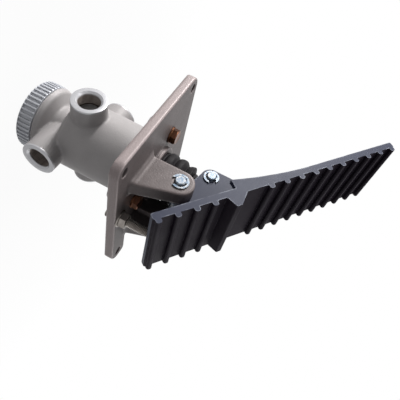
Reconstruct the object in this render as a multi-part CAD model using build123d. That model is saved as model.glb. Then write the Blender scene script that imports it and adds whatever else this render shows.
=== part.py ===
from build123d import *
import os
from math import asin, atan2, cos, hypot, pi, radians, sin

# Foot brake valve: a treadle on a bolt-down plate, pressing a dual-circuit air valve below it.
# The origin is the centre of the plate's underside. +Z runs along the valve's axis towards the
# treadle, +X towards the treadle's toe, and +Y along the pivot pin. Lengths are millimetres.

# Mounting plate, cast in one with the boss and the two ears
plate_side = 140.0
plate_thick = 9.0
plate_corner_r = 11.0
plate_edge_r = 1.2
mount_inset = 10.0
mount_hole_r = 4.5
plate_leg_width = 22.0
notch_floor_y = 44.0
notch_corner_r = 4.0
boss_r = 27.0
boss_height = 5.0
collar_r = 17.0
collar_height = 4.5
ear_inner_y = 24.0
ear_thick = 14.0
ear_tip_r = 13.0
ear_heel_reach = 25.0
ear_fillet_r = 5.0
ear_edge_r = 1.5
ear_pad_thick = 3.2
ear_pad_length = 19.5
ear_pad_overhang = 2.5
ear_pad_heel_rise = 20.5
ear_pad_toe_rise = 26.5

# Pivot pin and roller pin, with their clips
pivot_x = -27.0
pivot_z = 43.0
pivot_pin_r = 5.0
pivot_clip_r = 7.75
roller_x = 4.4
roller_z = 61.2
roller_pin_r = 4.5
roller_clip_r = 7.2
roller_r = 10.0
clip_thick = 1.2
clip_groove_depth = 1.0
clip_band = 1.9
clip_prong = 3.4
clip_mouth_share = 0.9
clip_prong_angles = (180, 62, -62)
pin_tail = 1.8
pin_chamfer = 0.8
pivot_clip_mouth_angle = 245.0
roller_clip_mouth_angle = 147.0

# Pedal: a flat tread on two hub flanges, stiffened by side skirts and a cross web
pedal_angle = 38.1
pedal_half_width = 39.0
tread_under = 71.8
tread_thick = 6.4
tread_overhang = 4.0
tread_corner_r = 1.5
heel_rib_at = -27.0
heel_rib_pitch = 16.9
heel_rib_count = 4
toe_rib_at = 80.7
toe_rib_pitch = 16.6
toe_rib_count = 10
rib_height = 4.1
rib_width = 5.4
rib_crown_r = 2.3
stop_rib_at = 35.5
stop_rib_base = 20.5
stop_rib_crown = 5.0
stop_rib_height = 10.5
stop_rib_lean = 4.0
stop_rib_edge_r = 1.2
skirt_start = 47.7
skirt_depth = 9.3
skirt_mid_share = 0.3
skirt_end = 124.0
skirt_thick = 5.0
flange_inner_y = 19.6
flange_thick = 4.0
flange_hub_r = 10.0
flange_boss_r = 9.4
flange_belly_z = 47.0
pivot_bush_r = 6.6

# Valve body: drum under the plate, neck, and bell towards the cap
flare_r = 37.0
flare_rim = 3.0
drum_r = 33.5
drum_start = 8.0
neck_taper = 5.0
neck_r = 19.6
neck_length = 10.7
bell_shoulder_r = 31.5
bell_shoulder_length = 5.0
bell_length = 10.0
bell_r = 33.4
body_length = 103.7
body_fillet_radii = (1.0, 3.0, 5.0, 3.0, 3.0, 4.0)
port_r = 16.4
port_bore_r = 10.2
port_depth = 14.0
port_chamfer = 1.8
port_fillet_r = 2.0
passage_r = 4.4
gallery_r = 3.2
gallery_at = 23.5
circuit_1_supply_reach = 49.0
circuit_1_supply_drop = 8.0
circuit_1_delivery_reach = 43.5
circuit_1_delivery_drop = 6.0
circuit_2_supply_reach = 46.8
circuit_2_supply_drop = 4.5
circuit_2_delivery_reach = 46.0
circuit_2_delivery_rise = 19.5

# Bolts that hold the body to the plate
bolt_circle_r = 38.2
bolt_angles = (49.5, 180.0, 310.5)
bolt_r = 4.0
bolt_hole_r = 4.4
bolt_head_af = 13.0
bolt_head_height = 5.3
bolt_washer_r = 8.0
bolt_washer_thick = 1.6
bolt_grip = 11.0
lug_r = 9.0
lug_height = 14.0

# Stop screw under the heel, with its washer and lock nut
stop_x = -62.0
stop_screw_r = 4.0
stop_screw_below = 4.0
stop_socket_af = 4.0
stop_socket_depth = 3.0
stop_nut_af = 13.0
stop_nut_height = 6.0
stop_washer_r = 8.0
stop_washer_thick = 1.4

# Plunger, its guide and its rubber boot
plunger_head_r = 12.0
plunger_head_height = 3.8
plunger_neck_r = 9.6
plunger_neck_height = 4.0
plunger_stem_r = 9.0
plunger_tail = 4.0
plunger_edge_r = 1.0
bush_wall = 3.0
bush_flange = 3.0
bush_flange_thick = 2.0
boot_wall = 1.8
boot_base_r = 22.5
boot_bead_height = 3.4
boot_top_r = 15.0
boot_folds = (
    (23.4, 0.13), (23.2, 0.29), (21.4, 0.37), (22.9, 0.46), (22.4, 0.60), (18.9, 0.70), (20.4, 0.79), (20.5, 0.90))
boot_fold_r = 1.2

# Bores of the body and what they hold, from the plate down
piston_bore_r = 27.0
web_bore_r = 8.0
web_height = 6.0
upper_bore_r = 15.0
upper_bore_height = 26.5
lower_bore_r = 15.8
lower_bore_height = 20.5
cap_room_r = 25.0
cap_room_depth = 2.7
spring_seat_r = 20.0
spring_seat_thick = 4.0
spring_pilot_r = 8.0
spring_pilot_height = 4.0
graduating_r = 13.0
graduating_wire_r = 1.5
graduating_pitch = 4.2
piston_thick = 7.0
piston_stem_r = 6.5
piston_stem_gap = 2.45
return_space = 12.0
return_spring_r = 21.0
return_wire_r = 0.8
return_turns = 3
valve_disc_r = 11.0
valve_disc_thick = 3.6
valve_tube_r = 5.0
valve_tube_bore_r = 3.0
valve_length = 15.0
valve_spring_r = 8.4
valve_wire_r = 0.7
valve_spring_turns = 2
cage_wall = 2.2
cage_floor = 4.0
cage_height = 14.4
cage_window_r = 3.4
cage_window_drop = 5.5
cage_window_count = 4
snap_ring_bite = 1.0
snap_ring_band = 2.6
snap_ring_thick = 1.2
snap_ring_mouth = 8.0
relay_thick = 4.2
relay_stem_r = 6.0
relay_stem_length = 7.9
relay_headroom = 0.5
seat_thick = 3.4
seat_bore_r = 7.4
seal_r = 1.0
seal_groove_height = 2.4
body_seal_at_r = 30.2

# Ribbed cap screwed on the end of the body, with the rubber exhaust flap
cap_rib_r = 33.9
cap_root_r = 32.5
cap_rib_count = 48
cap_rib_share = 0.58
cap_gap = 0.6
cap_length = 14.7
cap_rim = 1.2
cap_end_thick = 7.0
cap_ledge = 3.0
spigot_r = 30.0
spigot_wall = 4.0
spigot_length = 5.0
recess_r = 19.0
recess_depth = 4.0
exhaust_hole_r = 3.0
exhaust_hole_circle_r = 10.5
exhaust_hole_count = 6
flap_r = 16.0
flap_thick = 1.4
flap_washer_r = 7.0
flap_washer_thick = 0.9
flap_screw_r = 2.5
flap_screw_length = 6.0
flap_screw_head_r = 4.4
flap_screw_head_height = 1.5

# Clearances
slide_gap = 0.05
seat_gap = 0.05
thread_gap = 0.1
end_play = 0.1
side_play = 0.6
overlap = 1.0

os.makedirs("parts", exist_ok=True)

# Levels and places that several pieces share
plate_front = plate_thick
boss_top = plate_front + boss_height
collar_top = boss_top + collar_height
ear_outer_y = ear_inner_y + ear_thick
plunger_top = roller_z - roller_r - slide_gap
plunger_neck_top = plunger_top - plunger_head_height
plunger_neck_low = plunger_neck_top - plunger_neck_height
flange_outer_y = flange_inner_y + flange_thick
tread_top = tread_under + tread_thick
tread_heel = heel_rib_at - tread_overhang
tread_toe = toe_rib_at + (toe_rib_count - 1) * toe_rib_pitch + tread_overhang
bush_bore_r = plunger_stem_r + slide_gap
bush_outer_r = bush_bore_r + bush_wall
plate_bore_r = bush_outer_r + seat_gap
bolt_places = [(bolt_circle_r * cos(radians(a)), bolt_circle_r * sin(radians(a))) for a in bolt_angles]
mount_pitch = plate_side - 2 * mount_inset
mount_places = [(x, y) for x in (-mount_pitch / 2, mount_pitch / 2) for y in (-mount_pitch / 2, mount_pitch / 2)]
notch_width = plate_side - 2 * plate_leg_width
notch_depth = plate_side / 2 - notch_floor_y
neck_end = body_length - bell_length
neck_start = neck_end - neck_length
drum_end = neck_start - neck_taper
bell_shoulder_at = neck_end + bell_shoulder_length
lower_bore_end = body_length - cap_room_depth
lower_bore_start = lower_bore_end - lower_bore_height
piston_bore_depth = lower_bore_start - upper_bore_height - web_height
piston_top = piston_bore_depth - return_space - piston_thick
spring_seat_top = -plunger_tail - seat_gap
spring_seat_low = spring_seat_top - spring_seat_thick
graduating_low = -piston_top + seat_gap
graduating_high = spring_seat_low - seat_gap
graduating_turns = int((graduating_high - graduating_low - 2 * graduating_wire_r) / graduating_pitch)
web_low = -piston_bore_depth - web_height
valve_1_top = web_low - seat_gap
piston_stem_end = -valve_1_top - piston_stem_gap
cage_1_top = web_low - seat_gap
cage_1_low = cage_1_top - cage_height
snap_1_low = cage_1_low - seat_gap - snap_ring_thick
relay_top = snap_1_low - relay_headroom
seat_2_top = -lower_bore_start - seat_gap
seat_2_low = seat_2_top - seat_thick
valve_2_top = seat_2_low - seat_gap
cage_2_low = seat_2_low - seat_gap - cage_height
snap_2_low = cage_2_low - seat_gap - snap_ring_thick
circuit_1_supply_z = web_low - circuit_1_supply_drop
circuit_1_delivery_z = -piston_bore_depth - circuit_1_delivery_drop
circuit_2_supply_z = -lower_bore_start - circuit_2_supply_drop
circuit_2_delivery_z = -lower_bore_start + circuit_2_delivery_rise
cap_front = body_length + cap_gap
cap_rear = cap_front + cap_length
cap_end_low = -cap_rear
cap_end_top = -cap_rear + cap_end_thick
recess_top = -cap_rear + recess_depth
flap_low = recess_top - seat_gap - flap_thick
flap_washer_low = flap_low - seat_gap - flap_washer_thick

# The pedal's own plane: its x runs along the tread towards the toe, its y out of the tread
pedal_turn = radians(pedal_angle)
pedal_side = Plane(origin=(0, 0, 0), x_dir=(cos(pedal_turn), 0, sin(pedal_turn)), z_dir=(0, -1, 0))


def underside_z(x):
    """Height of the tread's underside over a point on the valve's X axis."""
    return (tread_under + x * sin(pedal_turn)) / cos(pedal_turn)


def disc(radius, low, high):
    """Plain cylinder about the valve's axis between two heights."""
    return Pos(0, 0, low) * extrude(Circle(radius), amount=high - low)


def ring(outer, inner, low, high):
    """Tube about the valve's axis between two heights."""
    return Pos(0, 0, low) * extrude(Circle(outer) - Circle(inner), amount=high - low)


def turned(*outline):
    """Turn a closed half outline, made of lines, about the valve's axis."""
    return revolve(Plane.XZ * make_face(list(outline)), Axis.Z)


def hexagon(across_flats, low, high):
    """Hexagonal prism about the valve's axis, with the corners of both ends turned off."""
    corner_r = across_flats / 2 / cos(pi / 6)
    turn_off = corner_r - across_flats / 2
    blank = disc(corner_r, low, high)
    blank = chamfer(blank.edges().filter_by(GeomType.CIRCLE), turn_off / 2, turn_off)
    return blank & Pos(0, 0, low) * extrude(RegularPolygon(corner_r, 6), amount=high - low)


def along_y(x, z, radius, half_length):
    """Cylinder along Y, centred on the valve's middle plane."""
    return Pos(x, 0, z) * Rot(90, 0, 0) * Cylinder(radius, 2 * half_length)


def side_plane(y):
    """Plane facing -Y at a given Y, its own x and y along the valve's X and Z."""
    return Plane(origin=(0, y, 0), x_dir=(1, 0, 0), z_dir=(0, -1, 0))


def both_sides(shape):
    """A shape and its mirror image across the valve's middle plane."""
    return shape + mirror(shape, Plane.XZ)


def seal_ring(outer_r, height):
    """Round rubber ring about the valve's axis."""
    return Pos(0, 0, height) * Torus(outer_r - seal_r, seal_r)


def seal_groove(outer_r, height):
    """Room for a seal ring in a shaft whose radius is a clearance over the ring's."""
    inner_r = outer_r - 2 * seal_r - seat_gap
    return ring(outer_r + overlap, inner_r, height - seal_groove_height / 2, height + seal_groove_height / 2)


def coil(radius, wire_r, low, high, turns):
    """Coil spring about the valve's axis, its wire inside the two heights."""
    height = high - low - 2 * wire_r
    path = Pos(0, 0, low + wire_r) * Helix(height / turns, height, radius)
    start = Plane(path @ 0, z_dir=path % 0)
    return sweep(start * Circle(wire_r), path=path, is_frenet=True)


def e_clip(outer_r, groove_r, mouth_angle):
    """Flat clip with three prongs, its mouth turned to an angle in its own plane."""
    mid_r = outer_r - clip_band / 2
    outline = Circle(outer_r) - Circle(outer_r - clip_band)
    for angle in clip_prong_angles:
        outline += Rot(0, 0, angle) * Pos(mid_r / 2, 0) * Rectangle(mid_r, clip_prong)
    outline -= Circle(groove_r + seat_gap)
    outline -= Pos(outer_r, 0) * Rectangle(2 * outer_r, 2 * groove_r * clip_mouth_share)
    return extrude(Rot(0, 0, mouth_angle) * outline, amount=clip_thick)


def clip_pair(x, z, pin_r, outer_r, mouth_angle, inner_face_y):
    """The two clips of a cross pin, each outside the face that it bears on."""
    clip = e_clip(outer_r, pin_r - clip_groove_depth, mouth_angle)
    return both_sides(side_plane(inner_face_y + clip_thick) * Pos(x, z) * clip)


def cross_pin(x, z, radius, inner_face_y):
    """Pin along Y with a groove near each end for its clips."""
    pin = along_y(x, z, radius, inner_face_y + clip_thick + pin_tail)
    pin = chamfer(pin.edges().filter_by(GeomType.CIRCLE), pin_chamfer)
    groove = extrude(Circle(radius + overlap) - Circle(radius - clip_groove_depth), amount=clip_thick + 2 * seat_gap)
    return pin - both_sides(side_plane(inner_face_y + clip_thick + seat_gap) * Pos(x, z) * groove)


def snap_ring(bore_r, low):
    """Open spring ring that stands in a groove of a bore."""
    outline = Circle(bore_r + snap_ring_bite) - Circle(bore_r + snap_ring_bite - snap_ring_band)
    outline -= Pos(bore_r, 0) * Rectangle(2 * snap_ring_band + 2 * overlap, snap_ring_mouth)
    return Pos(0, 0, low) * extrude(outline, amount=snap_ring_thick)


def snap_groove(bore_r, low):
    """Groove for a snap ring, cut out of the body around a bore."""
    top = low + snap_ring_thick + seat_gap / 2
    return ring(bore_r + snap_ring_bite + seat_gap, bore_r - overlap, low - seat_gap / 2, top)


def ear():
    """One ear: tangent from its root's heel corner to the tip's arc, upright on the toe side."""
    root_x = pivot_x - ear_heel_reach
    rise = pivot_z - plate_front
    span = hypot(ear_heel_reach, rise)
    tangent = (span ** 2 - ear_tip_r ** 2) ** 0.5
    lean = atan2(rise, ear_heel_reach) + asin(ear_tip_r / span)
    touch = (root_x + tangent * cos(lean), plate_front + tangent * sin(lean))
    foot = plate_front - plate_thick / 2
    toe_x = pivot_x + ear_tip_r
    corners = Polyline(
        (root_x, foot), (root_x, plate_front), touch, (pivot_x, pivot_z), (toe_x, pivot_z), (toe_x, foot), close=True)
    side = make_face(corners) + Pos(pivot_x, pivot_z) * Circle(ear_tip_r)
    shape = side_plane(ear_outer_y) * extrude(side, amount=ear_thick)
    rounded = shape.edges().filter_by(lambda e: e.center().Z > plate_front).filter_by(Axis.Y, reverse=True)
    return fillet(rounded, ear_edge_r)


def ear_pad():
    """Thicker root inside one ear, on its toe side and clear of the hub flange above it."""
    toe_x = pivot_x + ear_tip_r + ear_pad_overhang
    heel_x = toe_x - ear_pad_length
    foot = plate_front - plate_thick / 2
    side = make_face(Polyline(
        (heel_x, foot), (toe_x, foot), (toe_x, plate_front + ear_pad_toe_rise),
        (heel_x, plate_front + ear_pad_heel_rise), close=True))
    return side_plane(ear_inner_y + overlap) * extrude(side, amount=ear_pad_thick + overlap)


def mounting_plate():
    outline = RectangleRounded(plate_side, plate_side, plate_corner_r)
    outline -= Pos(0, -plate_side / 2) * RectangleRounded(notch_width, 2 * notch_depth, notch_corner_r)
    slab = extrude(outline, amount=plate_thick)
    slab = fillet(slab.edges().filter_by(Axis.Z).group_by(Axis.Y)[0], notch_corner_r)
    slab = fillet(slab.faces().sort_by(Axis.Z)[-1].outer_wire().edges(), plate_edge_r)
    plate = slab + both_sides(ear())
    root = plate.edges().filter_by(
        lambda e: abs(e.center().Z - plate_front) < slide_gap and abs(abs(e.center().Y) - ear_outer_y) < slide_gap)
    plate = fillet(root, ear_fillet_r) + both_sides(ear_pad())
    plate += disc(boss_r, plate_front - overlap, boss_top) + disc(collar_r, boss_top - overlap, collar_top)
    plate -= disc(plate_bore_r, -overlap, collar_top + overlap)
    plate -= along_y(pivot_x, pivot_z, pivot_pin_r + seat_gap, ear_outer_y + overlap)
    plate -= Pos(stop_x, 0, 0) * disc(stop_screw_r + thread_gap, -overlap, plate_front + overlap)
    for x, y in mount_places:
        plate -= Pos(x, y, 0) * disc(mount_hole_r, -overlap, plate_front + overlap)
    for x, y in bolt_places:
        plate -= Pos(x, y, 0) * disc(bolt_hole_r, -overlap, plate_front + overlap)
    return plate


def port_places():
    """Direction, reach from the axis, height, and the height of the inner passage of each port."""
    delivery_1_floor = -piston_bore_depth
    return (
        ((0, 1, 0), circuit_1_supply_reach, circuit_1_supply_z, cage_1_top - cage_window_drop),
        ((1, 0, 0), circuit_1_delivery_reach, circuit_1_delivery_z, delivery_1_floor),
        ((-1, 0, 0), circuit_2_supply_reach, circuit_2_supply_z, valve_2_top - cage_window_drop),
        ((0, -1, 0), circuit_2_delivery_reach, circuit_2_delivery_z, seat_2_top),
    )


def port_roots(body):
    """Edges where the port bosses leave the body: on a boss's own cylinder, short of its mouth."""
    roots = []
    for direction, reach, z, _ in port_places():
        out = Vector(direction)
        for edge in body.edges():
            spots = [edge @ share - Vector(0, 0, z) for share in (0, 0.3, 0.7, 1)]
            on_boss = all(abs((spot - out * spot.dot(out)).length - port_r) < slide_gap for spot in spots)
            if on_boss and all(spot.dot(out) < reach - port_chamfer for spot in spots):
                roots.append(edge)
    return roots


def valve_body():
    outer = FilletPolyline(
        (flare_r, 0), (flare_r, -flare_rim), (drum_r, -drum_start), (drum_r, -drum_end), (neck_r, -neck_start),
        (neck_r, -neck_end), (bell_shoulder_r, -bell_shoulder_at), (bell_r, -body_length),
        radius=list(body_fillet_radii))
    body = turned(outer, Polyline((bell_r, -body_length), (0, -body_length), (0, 0), (flare_r, 0)))
    body += ring(spigot_r, spigot_r - spigot_wall, -body_length - spigot_length, -body_length + overlap)
    for x, y in bolt_places:
        lug = make_hull((Circle(drum_r * 0.6) + Pos(x, y) * Circle(lug_r)).edges())
        body += Pos(0, 0, -lug_height) * extrude(lug, amount=lug_height)
    for direction, reach, z, _ in port_places():
        body += Plane(origin=(0, 0, z), z_dir=direction) * extrude(Circle(port_r), amount=reach)
    body = fillet(port_roots(body), port_fillet_r)

    body -= disc(piston_bore_r, -piston_bore_depth, overlap)
    body -= disc(web_bore_r, web_low - overlap, -piston_bore_depth + overlap)
    body -= disc(upper_bore_r, -lower_bore_start - overlap, web_low)
    body -= disc(lower_bore_r, -lower_bore_end - overlap, -lower_bore_start)
    body -= disc(cap_room_r, -body_length - overlap, -lower_bore_end)
    body -= snap_groove(upper_bore_r, snap_1_low) + snap_groove(lower_bore_r, snap_2_low)
    body -= ring(
        body_seal_at_r + seal_r + seat_gap, body_seal_at_r - seal_r - seat_gap, -2 * seal_r - seat_gap, overlap)
    for x, y in bolt_places:
        body -= Pos(x, y, 0) * disc(bolt_r + thread_gap, -bolt_grip - overlap, overlap)
    for direction, reach, z, _ in port_places():
        bore = Plane(origin=(0, 0, z), z_dir=direction) * Pos(0, 0, reach - port_depth) * (
            extrude(Circle(port_bore_r), amount=port_depth + overlap))
        mouth = Plane(origin=(0, 0, z), z_dir=direction) * Pos(0, 0, reach - port_chamfer / 2) * Cone(
            port_bore_r, port_bore_r + port_chamfer, port_chamfer)
        body -= bore + mouth

    # Straight passages from both supply ports to their valve chambers
    for direction, reach, _, passage_z in (port_places()[0], port_places()[2]):
        start = Plane(origin=(0, 0, passage_z), z_dir=direction) * Pos(0, 0, upper_bore_r - overlap)
        body -= start * extrude(Circle(passage_r), amount=reach - port_depth - upper_bore_r + 2 * overlap)
    # Galleries along the wall from both delivery ports to the chambers under the pistons
    body -= Pos(gallery_at, 0, circuit_1_delivery_z) * extrude(Circle(gallery_r), amount=piston_bore_depth)
    body -= Plane(origin=(gallery_at, 0, circuit_1_delivery_z), z_dir=(1, 0, 0)) * extrude(
        Circle(gallery_r), amount=circuit_1_delivery_reach - port_depth - gallery_at + overlap)
    gallery_low = seat_2_top + gallery_r * 0.8
    body -= Pos(0, -gallery_at, gallery_low) * extrude(Circle(gallery_r), amount=circuit_2_delivery_z - gallery_low)
    body -= Plane(origin=(0, -gallery_at, circuit_2_delivery_z), z_dir=(0, -1, 0)) * extrude(
        Circle(gallery_r), amount=circuit_2_delivery_reach - port_depth - gallery_at + overlap)
    body -= Plane(origin=(0, -upper_bore_r + overlap, gallery_low), z_dir=(0, -1, 0)) * extrude(
        Circle(gallery_r * 0.6), amount=gallery_at - upper_bore_r + overlap)
    return body


def body_bolts():
    bolts = []
    head_low = plate_front + bolt_washer_thick + 2 * seat_gap
    for x, y in bolt_places:
        bolt = hexagon(bolt_head_af, head_low, head_low + bolt_head_height) + disc(bolt_r, -bolt_grip, head_low)
        bolts.append(Pos(x, y, 0) * bolt)
    return Compound(children=bolts)


def body_bolt_washers():
    low = plate_front + seat_gap
    washer = ring(bolt_washer_r, bolt_hole_r, low, low + bolt_washer_thick)
    return Compound(children=[Pos(x, y, 0) * washer for x, y in bolt_places])


def stop_screw():
    tip_z = underside_z(stop_x) - (stop_screw_r + seat_gap) / cos(pedal_turn)
    screw = disc(stop_screw_r, -stop_screw_below, tip_z) + Pos(0, 0, tip_z) * Sphere(stop_screw_r)
    socket = extrude(RegularPolygon(stop_socket_af / 2 / cos(pi / 6), 6), amount=stop_socket_depth)
    return Pos(stop_x, 0, 0) * (screw - Pos(0, 0, -stop_screw_below) * socket)


def stop_lock_washer():
    low = plate_front + seat_gap
    return Pos(stop_x, 0, 0) * ring(stop_washer_r, stop_screw_r + thread_gap, low, low + stop_washer_thick)


def stop_lock_nut():
    low = plate_front + stop_washer_thick + 2 * seat_gap
    nut = hexagon(stop_nut_af, low, low + stop_nut_height)
    return Pos(stop_x, 0, 0) * (nut - disc(stop_screw_r + thread_gap, low - overlap, low + stop_nut_height + overlap))


def tread():
    """Tread slab with its ribs, as one outline drawn out across the pedal."""
    length = tread_toe - tread_heel
    outline = Pos(tread_heel + length / 2, tread_under + tread_thick / 2) * RectangleRounded(
        length, tread_thick, tread_corner_r)
    heel_ribs = [heel_rib_at + i * heel_rib_pitch for i in range(heel_rib_count)]
    toe_ribs = [toe_rib_at + i * toe_rib_pitch for i in range(toe_rib_count)]
    for at in heel_ribs + toe_ribs:
        outline += Pos(at, tread_top) * RectangleRounded(rib_width, 2 * rib_height, rib_crown_r)
    crown = tread_top + stop_rib_height
    foot = tread_top - tread_corner_r
    wedge = make_face(Polyline(
        (stop_rib_at, foot), (stop_rib_at, tread_top), (stop_rib_at + stop_rib_lean, crown),
        (stop_rib_at + stop_rib_lean + stop_rib_crown, crown), (stop_rib_at + stop_rib_base, tread_top),
        (stop_rib_at + stop_rib_base, foot), close=True))
    outline += fillet(wedge.vertices().sort_by(Axis.Y)[-2:], stop_rib_edge_r)
    return extrude(pedal_side * outline, amount=pedal_half_width, both=True)


def hub_flange():
    """One hub flange, from the pivot and the roller's boss up into the tread."""
    heel_x = pivot_x - flange_hub_r
    hub_toe_x = pivot_x + flange_hub_r
    toe_x = roller_x + flange_boss_r
    rise = tread_thick / 2
    corners = Polyline(
        (heel_x, underside_z(heel_x) + rise), (heel_x, pivot_z), (hub_toe_x, pivot_z), (hub_toe_x, flange_belly_z),
        (roller_x, roller_z - flange_boss_r), (roller_x, roller_z), (toe_x, roller_z),
        (toe_x, underside_z(toe_x) + rise), close=True)
    side = make_face(corners) + Pos(pivot_x, pivot_z) * Circle(flange_hub_r)
    side += Pos(roller_x, roller_z) * Circle(flange_boss_r)
    side -= Pos(pivot_x, pivot_z) * Circle(pivot_bush_r)
    side -= Pos(roller_x, roller_z) * Circle(roller_pin_r + seat_gap)
    return side_plane(flange_outer_y) * extrude(side, amount=flange_thick)


def skirt():
    """One side skirt: its depth under the tread falls in a long curve towards the toe."""
    top = tread_under + tread_thick / 2
    middle = ((skirt_start + skirt_end) / 2, tread_under - skirt_depth * skirt_mid_share)
    curve = ThreePointArc((skirt_start, tread_under - skirt_depth), middle, (skirt_end, tread_under))
    side = make_face([curve, Polyline(
        (skirt_end, tread_under), (skirt_end, top), (skirt_start, top), (skirt_start, tread_under - skirt_depth))])
    strip = extrude(pedal_side * side, amount=skirt_thick)
    return Pos(0, pedal_half_width, 0) * strip


def pedal():
    web = Pos(skirt_start + skirt_thick / 2, tread_under - skirt_depth / 2 + tread_thick / 4) * Rectangle(
        skirt_thick, skirt_depth + tread_thick / 2)
    shape = tread() + both_sides(hub_flange()) + both_sides(skirt())
    return shape + extrude(pedal_side * web, amount=flange_outer_y - overlap, both=True)


def pivot_bushes():
    bore_r = pivot_pin_r + slide_gap
    bush = extrude(Pos(pivot_x, pivot_z) * (Circle(pivot_bush_r - seat_gap) - Circle(bore_r)), amount=flange_thick)
    return both_sides(side_plane(flange_outer_y) * bush)


def roller():
    half_length = flange_inner_y - side_play
    blank = chamfer(along_y(roller_x, roller_z, roller_r, half_length).edges().filter_by(GeomType.CIRCLE), pin_chamfer)
    return blank - along_y(roller_x, roller_z, roller_pin_r + slide_gap, half_length + overlap)


def plunger():
    head = disc(plunger_head_r, plunger_neck_top, plunger_top)
    head = fillet(head.edges().filter_by(GeomType.CIRCLE), plunger_edge_r)
    stem = disc(plunger_neck_r, plunger_neck_low, plunger_neck_top + overlap)
    return head + stem + disc(plunger_stem_r, -plunger_tail, plunger_neck_low + overlap)


def plunger_bush():
    flange = ring(bush_outer_r + bush_flange, bush_bore_r, -bush_flange_thick - seat_gap, -seat_gap)
    return flange + ring(bush_outer_r, bush_bore_r, -bush_flange_thick, collar_top)


def plunger_boot():
    """Rubber bellows from the boss's collar to the plunger's neck."""
    base = boss_top + seat_gap
    base_top = base + boot_bead_height
    top = plunger_neck_top - seat_gap
    top_low = top - boot_bead_height
    span = top - base
    folds = [(r, base + span * share) for r, share in boot_folds]
    outer = FilletPolyline((boot_base_r, base), (boot_base_r, base_top), *folds, (boot_top_r, top), radius=boot_fold_r)
    inside = [(r - boot_wall, z) for r, z in reversed(folds)]
    inner = FilletPolyline(
        (plunger_neck_r + seat_gap, top_low), *inside, (collar_r + seat_gap, base_top), radius=boot_fold_r)
    top_lip = Polyline((boot_top_r, top), (plunger_neck_r + seat_gap, top), (plunger_neck_r + seat_gap, top_low))
    base_lip = Polyline((collar_r + seat_gap, base_top), (collar_r + seat_gap, base), (boot_base_r, base))
    return turned(outer, top_lip, inner, base_lip)


def spring_seat():
    pilot_low = spring_seat_low - spring_pilot_height
    return disc(spring_seat_r, spring_seat_low, spring_seat_top) + disc(
        spring_pilot_r, pilot_low, spring_seat_low + overlap)


def primary_piston():
    piston = disc(piston_bore_r - slide_gap, -piston_top - piston_thick, -piston_top)
    piston += disc(piston_stem_r, -piston_stem_end, -piston_top - overlap)
    return piston - seal_groove(piston_bore_r - slide_gap, -piston_top - piston_thick / 2)


def hollow_valve(top):
    """Rubber-faced disc on a hollow stem: it closes the inlet, and the piston's stem its bore."""
    valve = disc(valve_disc_r, top - valve_disc_thick, top) + disc(valve_tube_r, top - valve_length, top - overlap)
    return valve - disc(valve_tube_bore_r, top - valve_length - overlap, top + overlap)


def valve_cage(outer_r, low):
    """Cup that guides a hollow valve and carries its spring, with windows for the air."""
    top = low + cage_height
    cage = disc(outer_r, low, top) - disc(outer_r - cage_wall, low + cage_floor, top + overlap)
    cage -= disc(valve_tube_r + slide_gap, low - overlap, top)
    for i in range(cage_window_count):
        around = Rot(0, 0, 360 / cage_window_count * i)
        cage -= around * Pos(outer_r, 0, top - cage_window_drop) * Rot(0, 90, 0) * Cylinder(cage_window_r, outer_r)
    return cage


def relay_piston():
    piston = disc(upper_bore_r - slide_gap, relay_top - relay_thick, relay_top)
    piston += disc(relay_stem_r, relay_top - relay_thick - relay_stem_length, relay_top - overlap)
    return piston - seal_groove(upper_bore_r - slide_gap, relay_top - relay_thick / 2)


def secondary_seat():
    outer_r = lower_bore_r - seat_gap
    return ring(outer_r, seat_bore_r, seat_2_low, seat_2_top) - seal_groove(outer_r, (seat_2_low + seat_2_top) / 2)


def secondary_valve_cage():
    cage = valve_cage(lower_bore_r - seat_gap, cage_2_low)
    return cage - seal_groove(lower_bore_r - seat_gap, cage_2_low + cage_floor / 2)


def exhaust_cap():
    pitch = 2 * pi * cap_rib_r / cap_rib_count
    groove = Rectangle(2 * (cap_rib_r - cap_root_r), pitch * (1 - cap_rib_share))
    outline = Circle(cap_rib_r) - PolarLocations(cap_rib_r, cap_rib_count) * groove
    cap = Pos(0, 0, cap_end_low) * extrude(outline, amount=cap_rear - cap_front)
    blank = disc(cap_rib_r, cap_end_low, -cap_front)
    cap &= chamfer(blank.edges().filter_by(GeomType.CIRCLE), cap_rim)
    spigot_low = -body_length - spigot_length - seat_gap
    cap -= disc(spigot_r + thread_gap, spigot_low, -cap_front + overlap)
    cap -= disc(spigot_r - cap_ledge, cap_end_top, spigot_low + overlap)
    cap -= disc(recess_r, cap_end_low - overlap, recess_top)
    hole = extrude(Circle(exhaust_hole_r), amount=cap_end_thick)
    for place in PolarLocations(exhaust_hole_circle_r, exhaust_hole_count):
        cap -= Pos(0, 0, recess_top - overlap) * place * hole
    return cap - disc(flap_screw_r + thread_gap, cap_end_low, cap_end_top + overlap)


def exhaust_flap():
    return ring(flap_r, flap_screw_r + seat_gap, flap_low, flap_low + flap_thick)


def flap_washer():
    return ring(flap_washer_r, flap_screw_r + seat_gap, flap_washer_low, flap_washer_low + flap_washer_thick)


def flap_screw():
    head_top = flap_washer_low - seat_gap
    head = disc(flap_screw_head_r, head_top - flap_screw_head_height, head_top)
    return head + disc(flap_screw_r, head_top, head_top + flap_screw_length)


def save(name, shape):
    """Write one sub-part as its own STEP file."""
    export_step(shape, f"parts/{name}.step")


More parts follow.
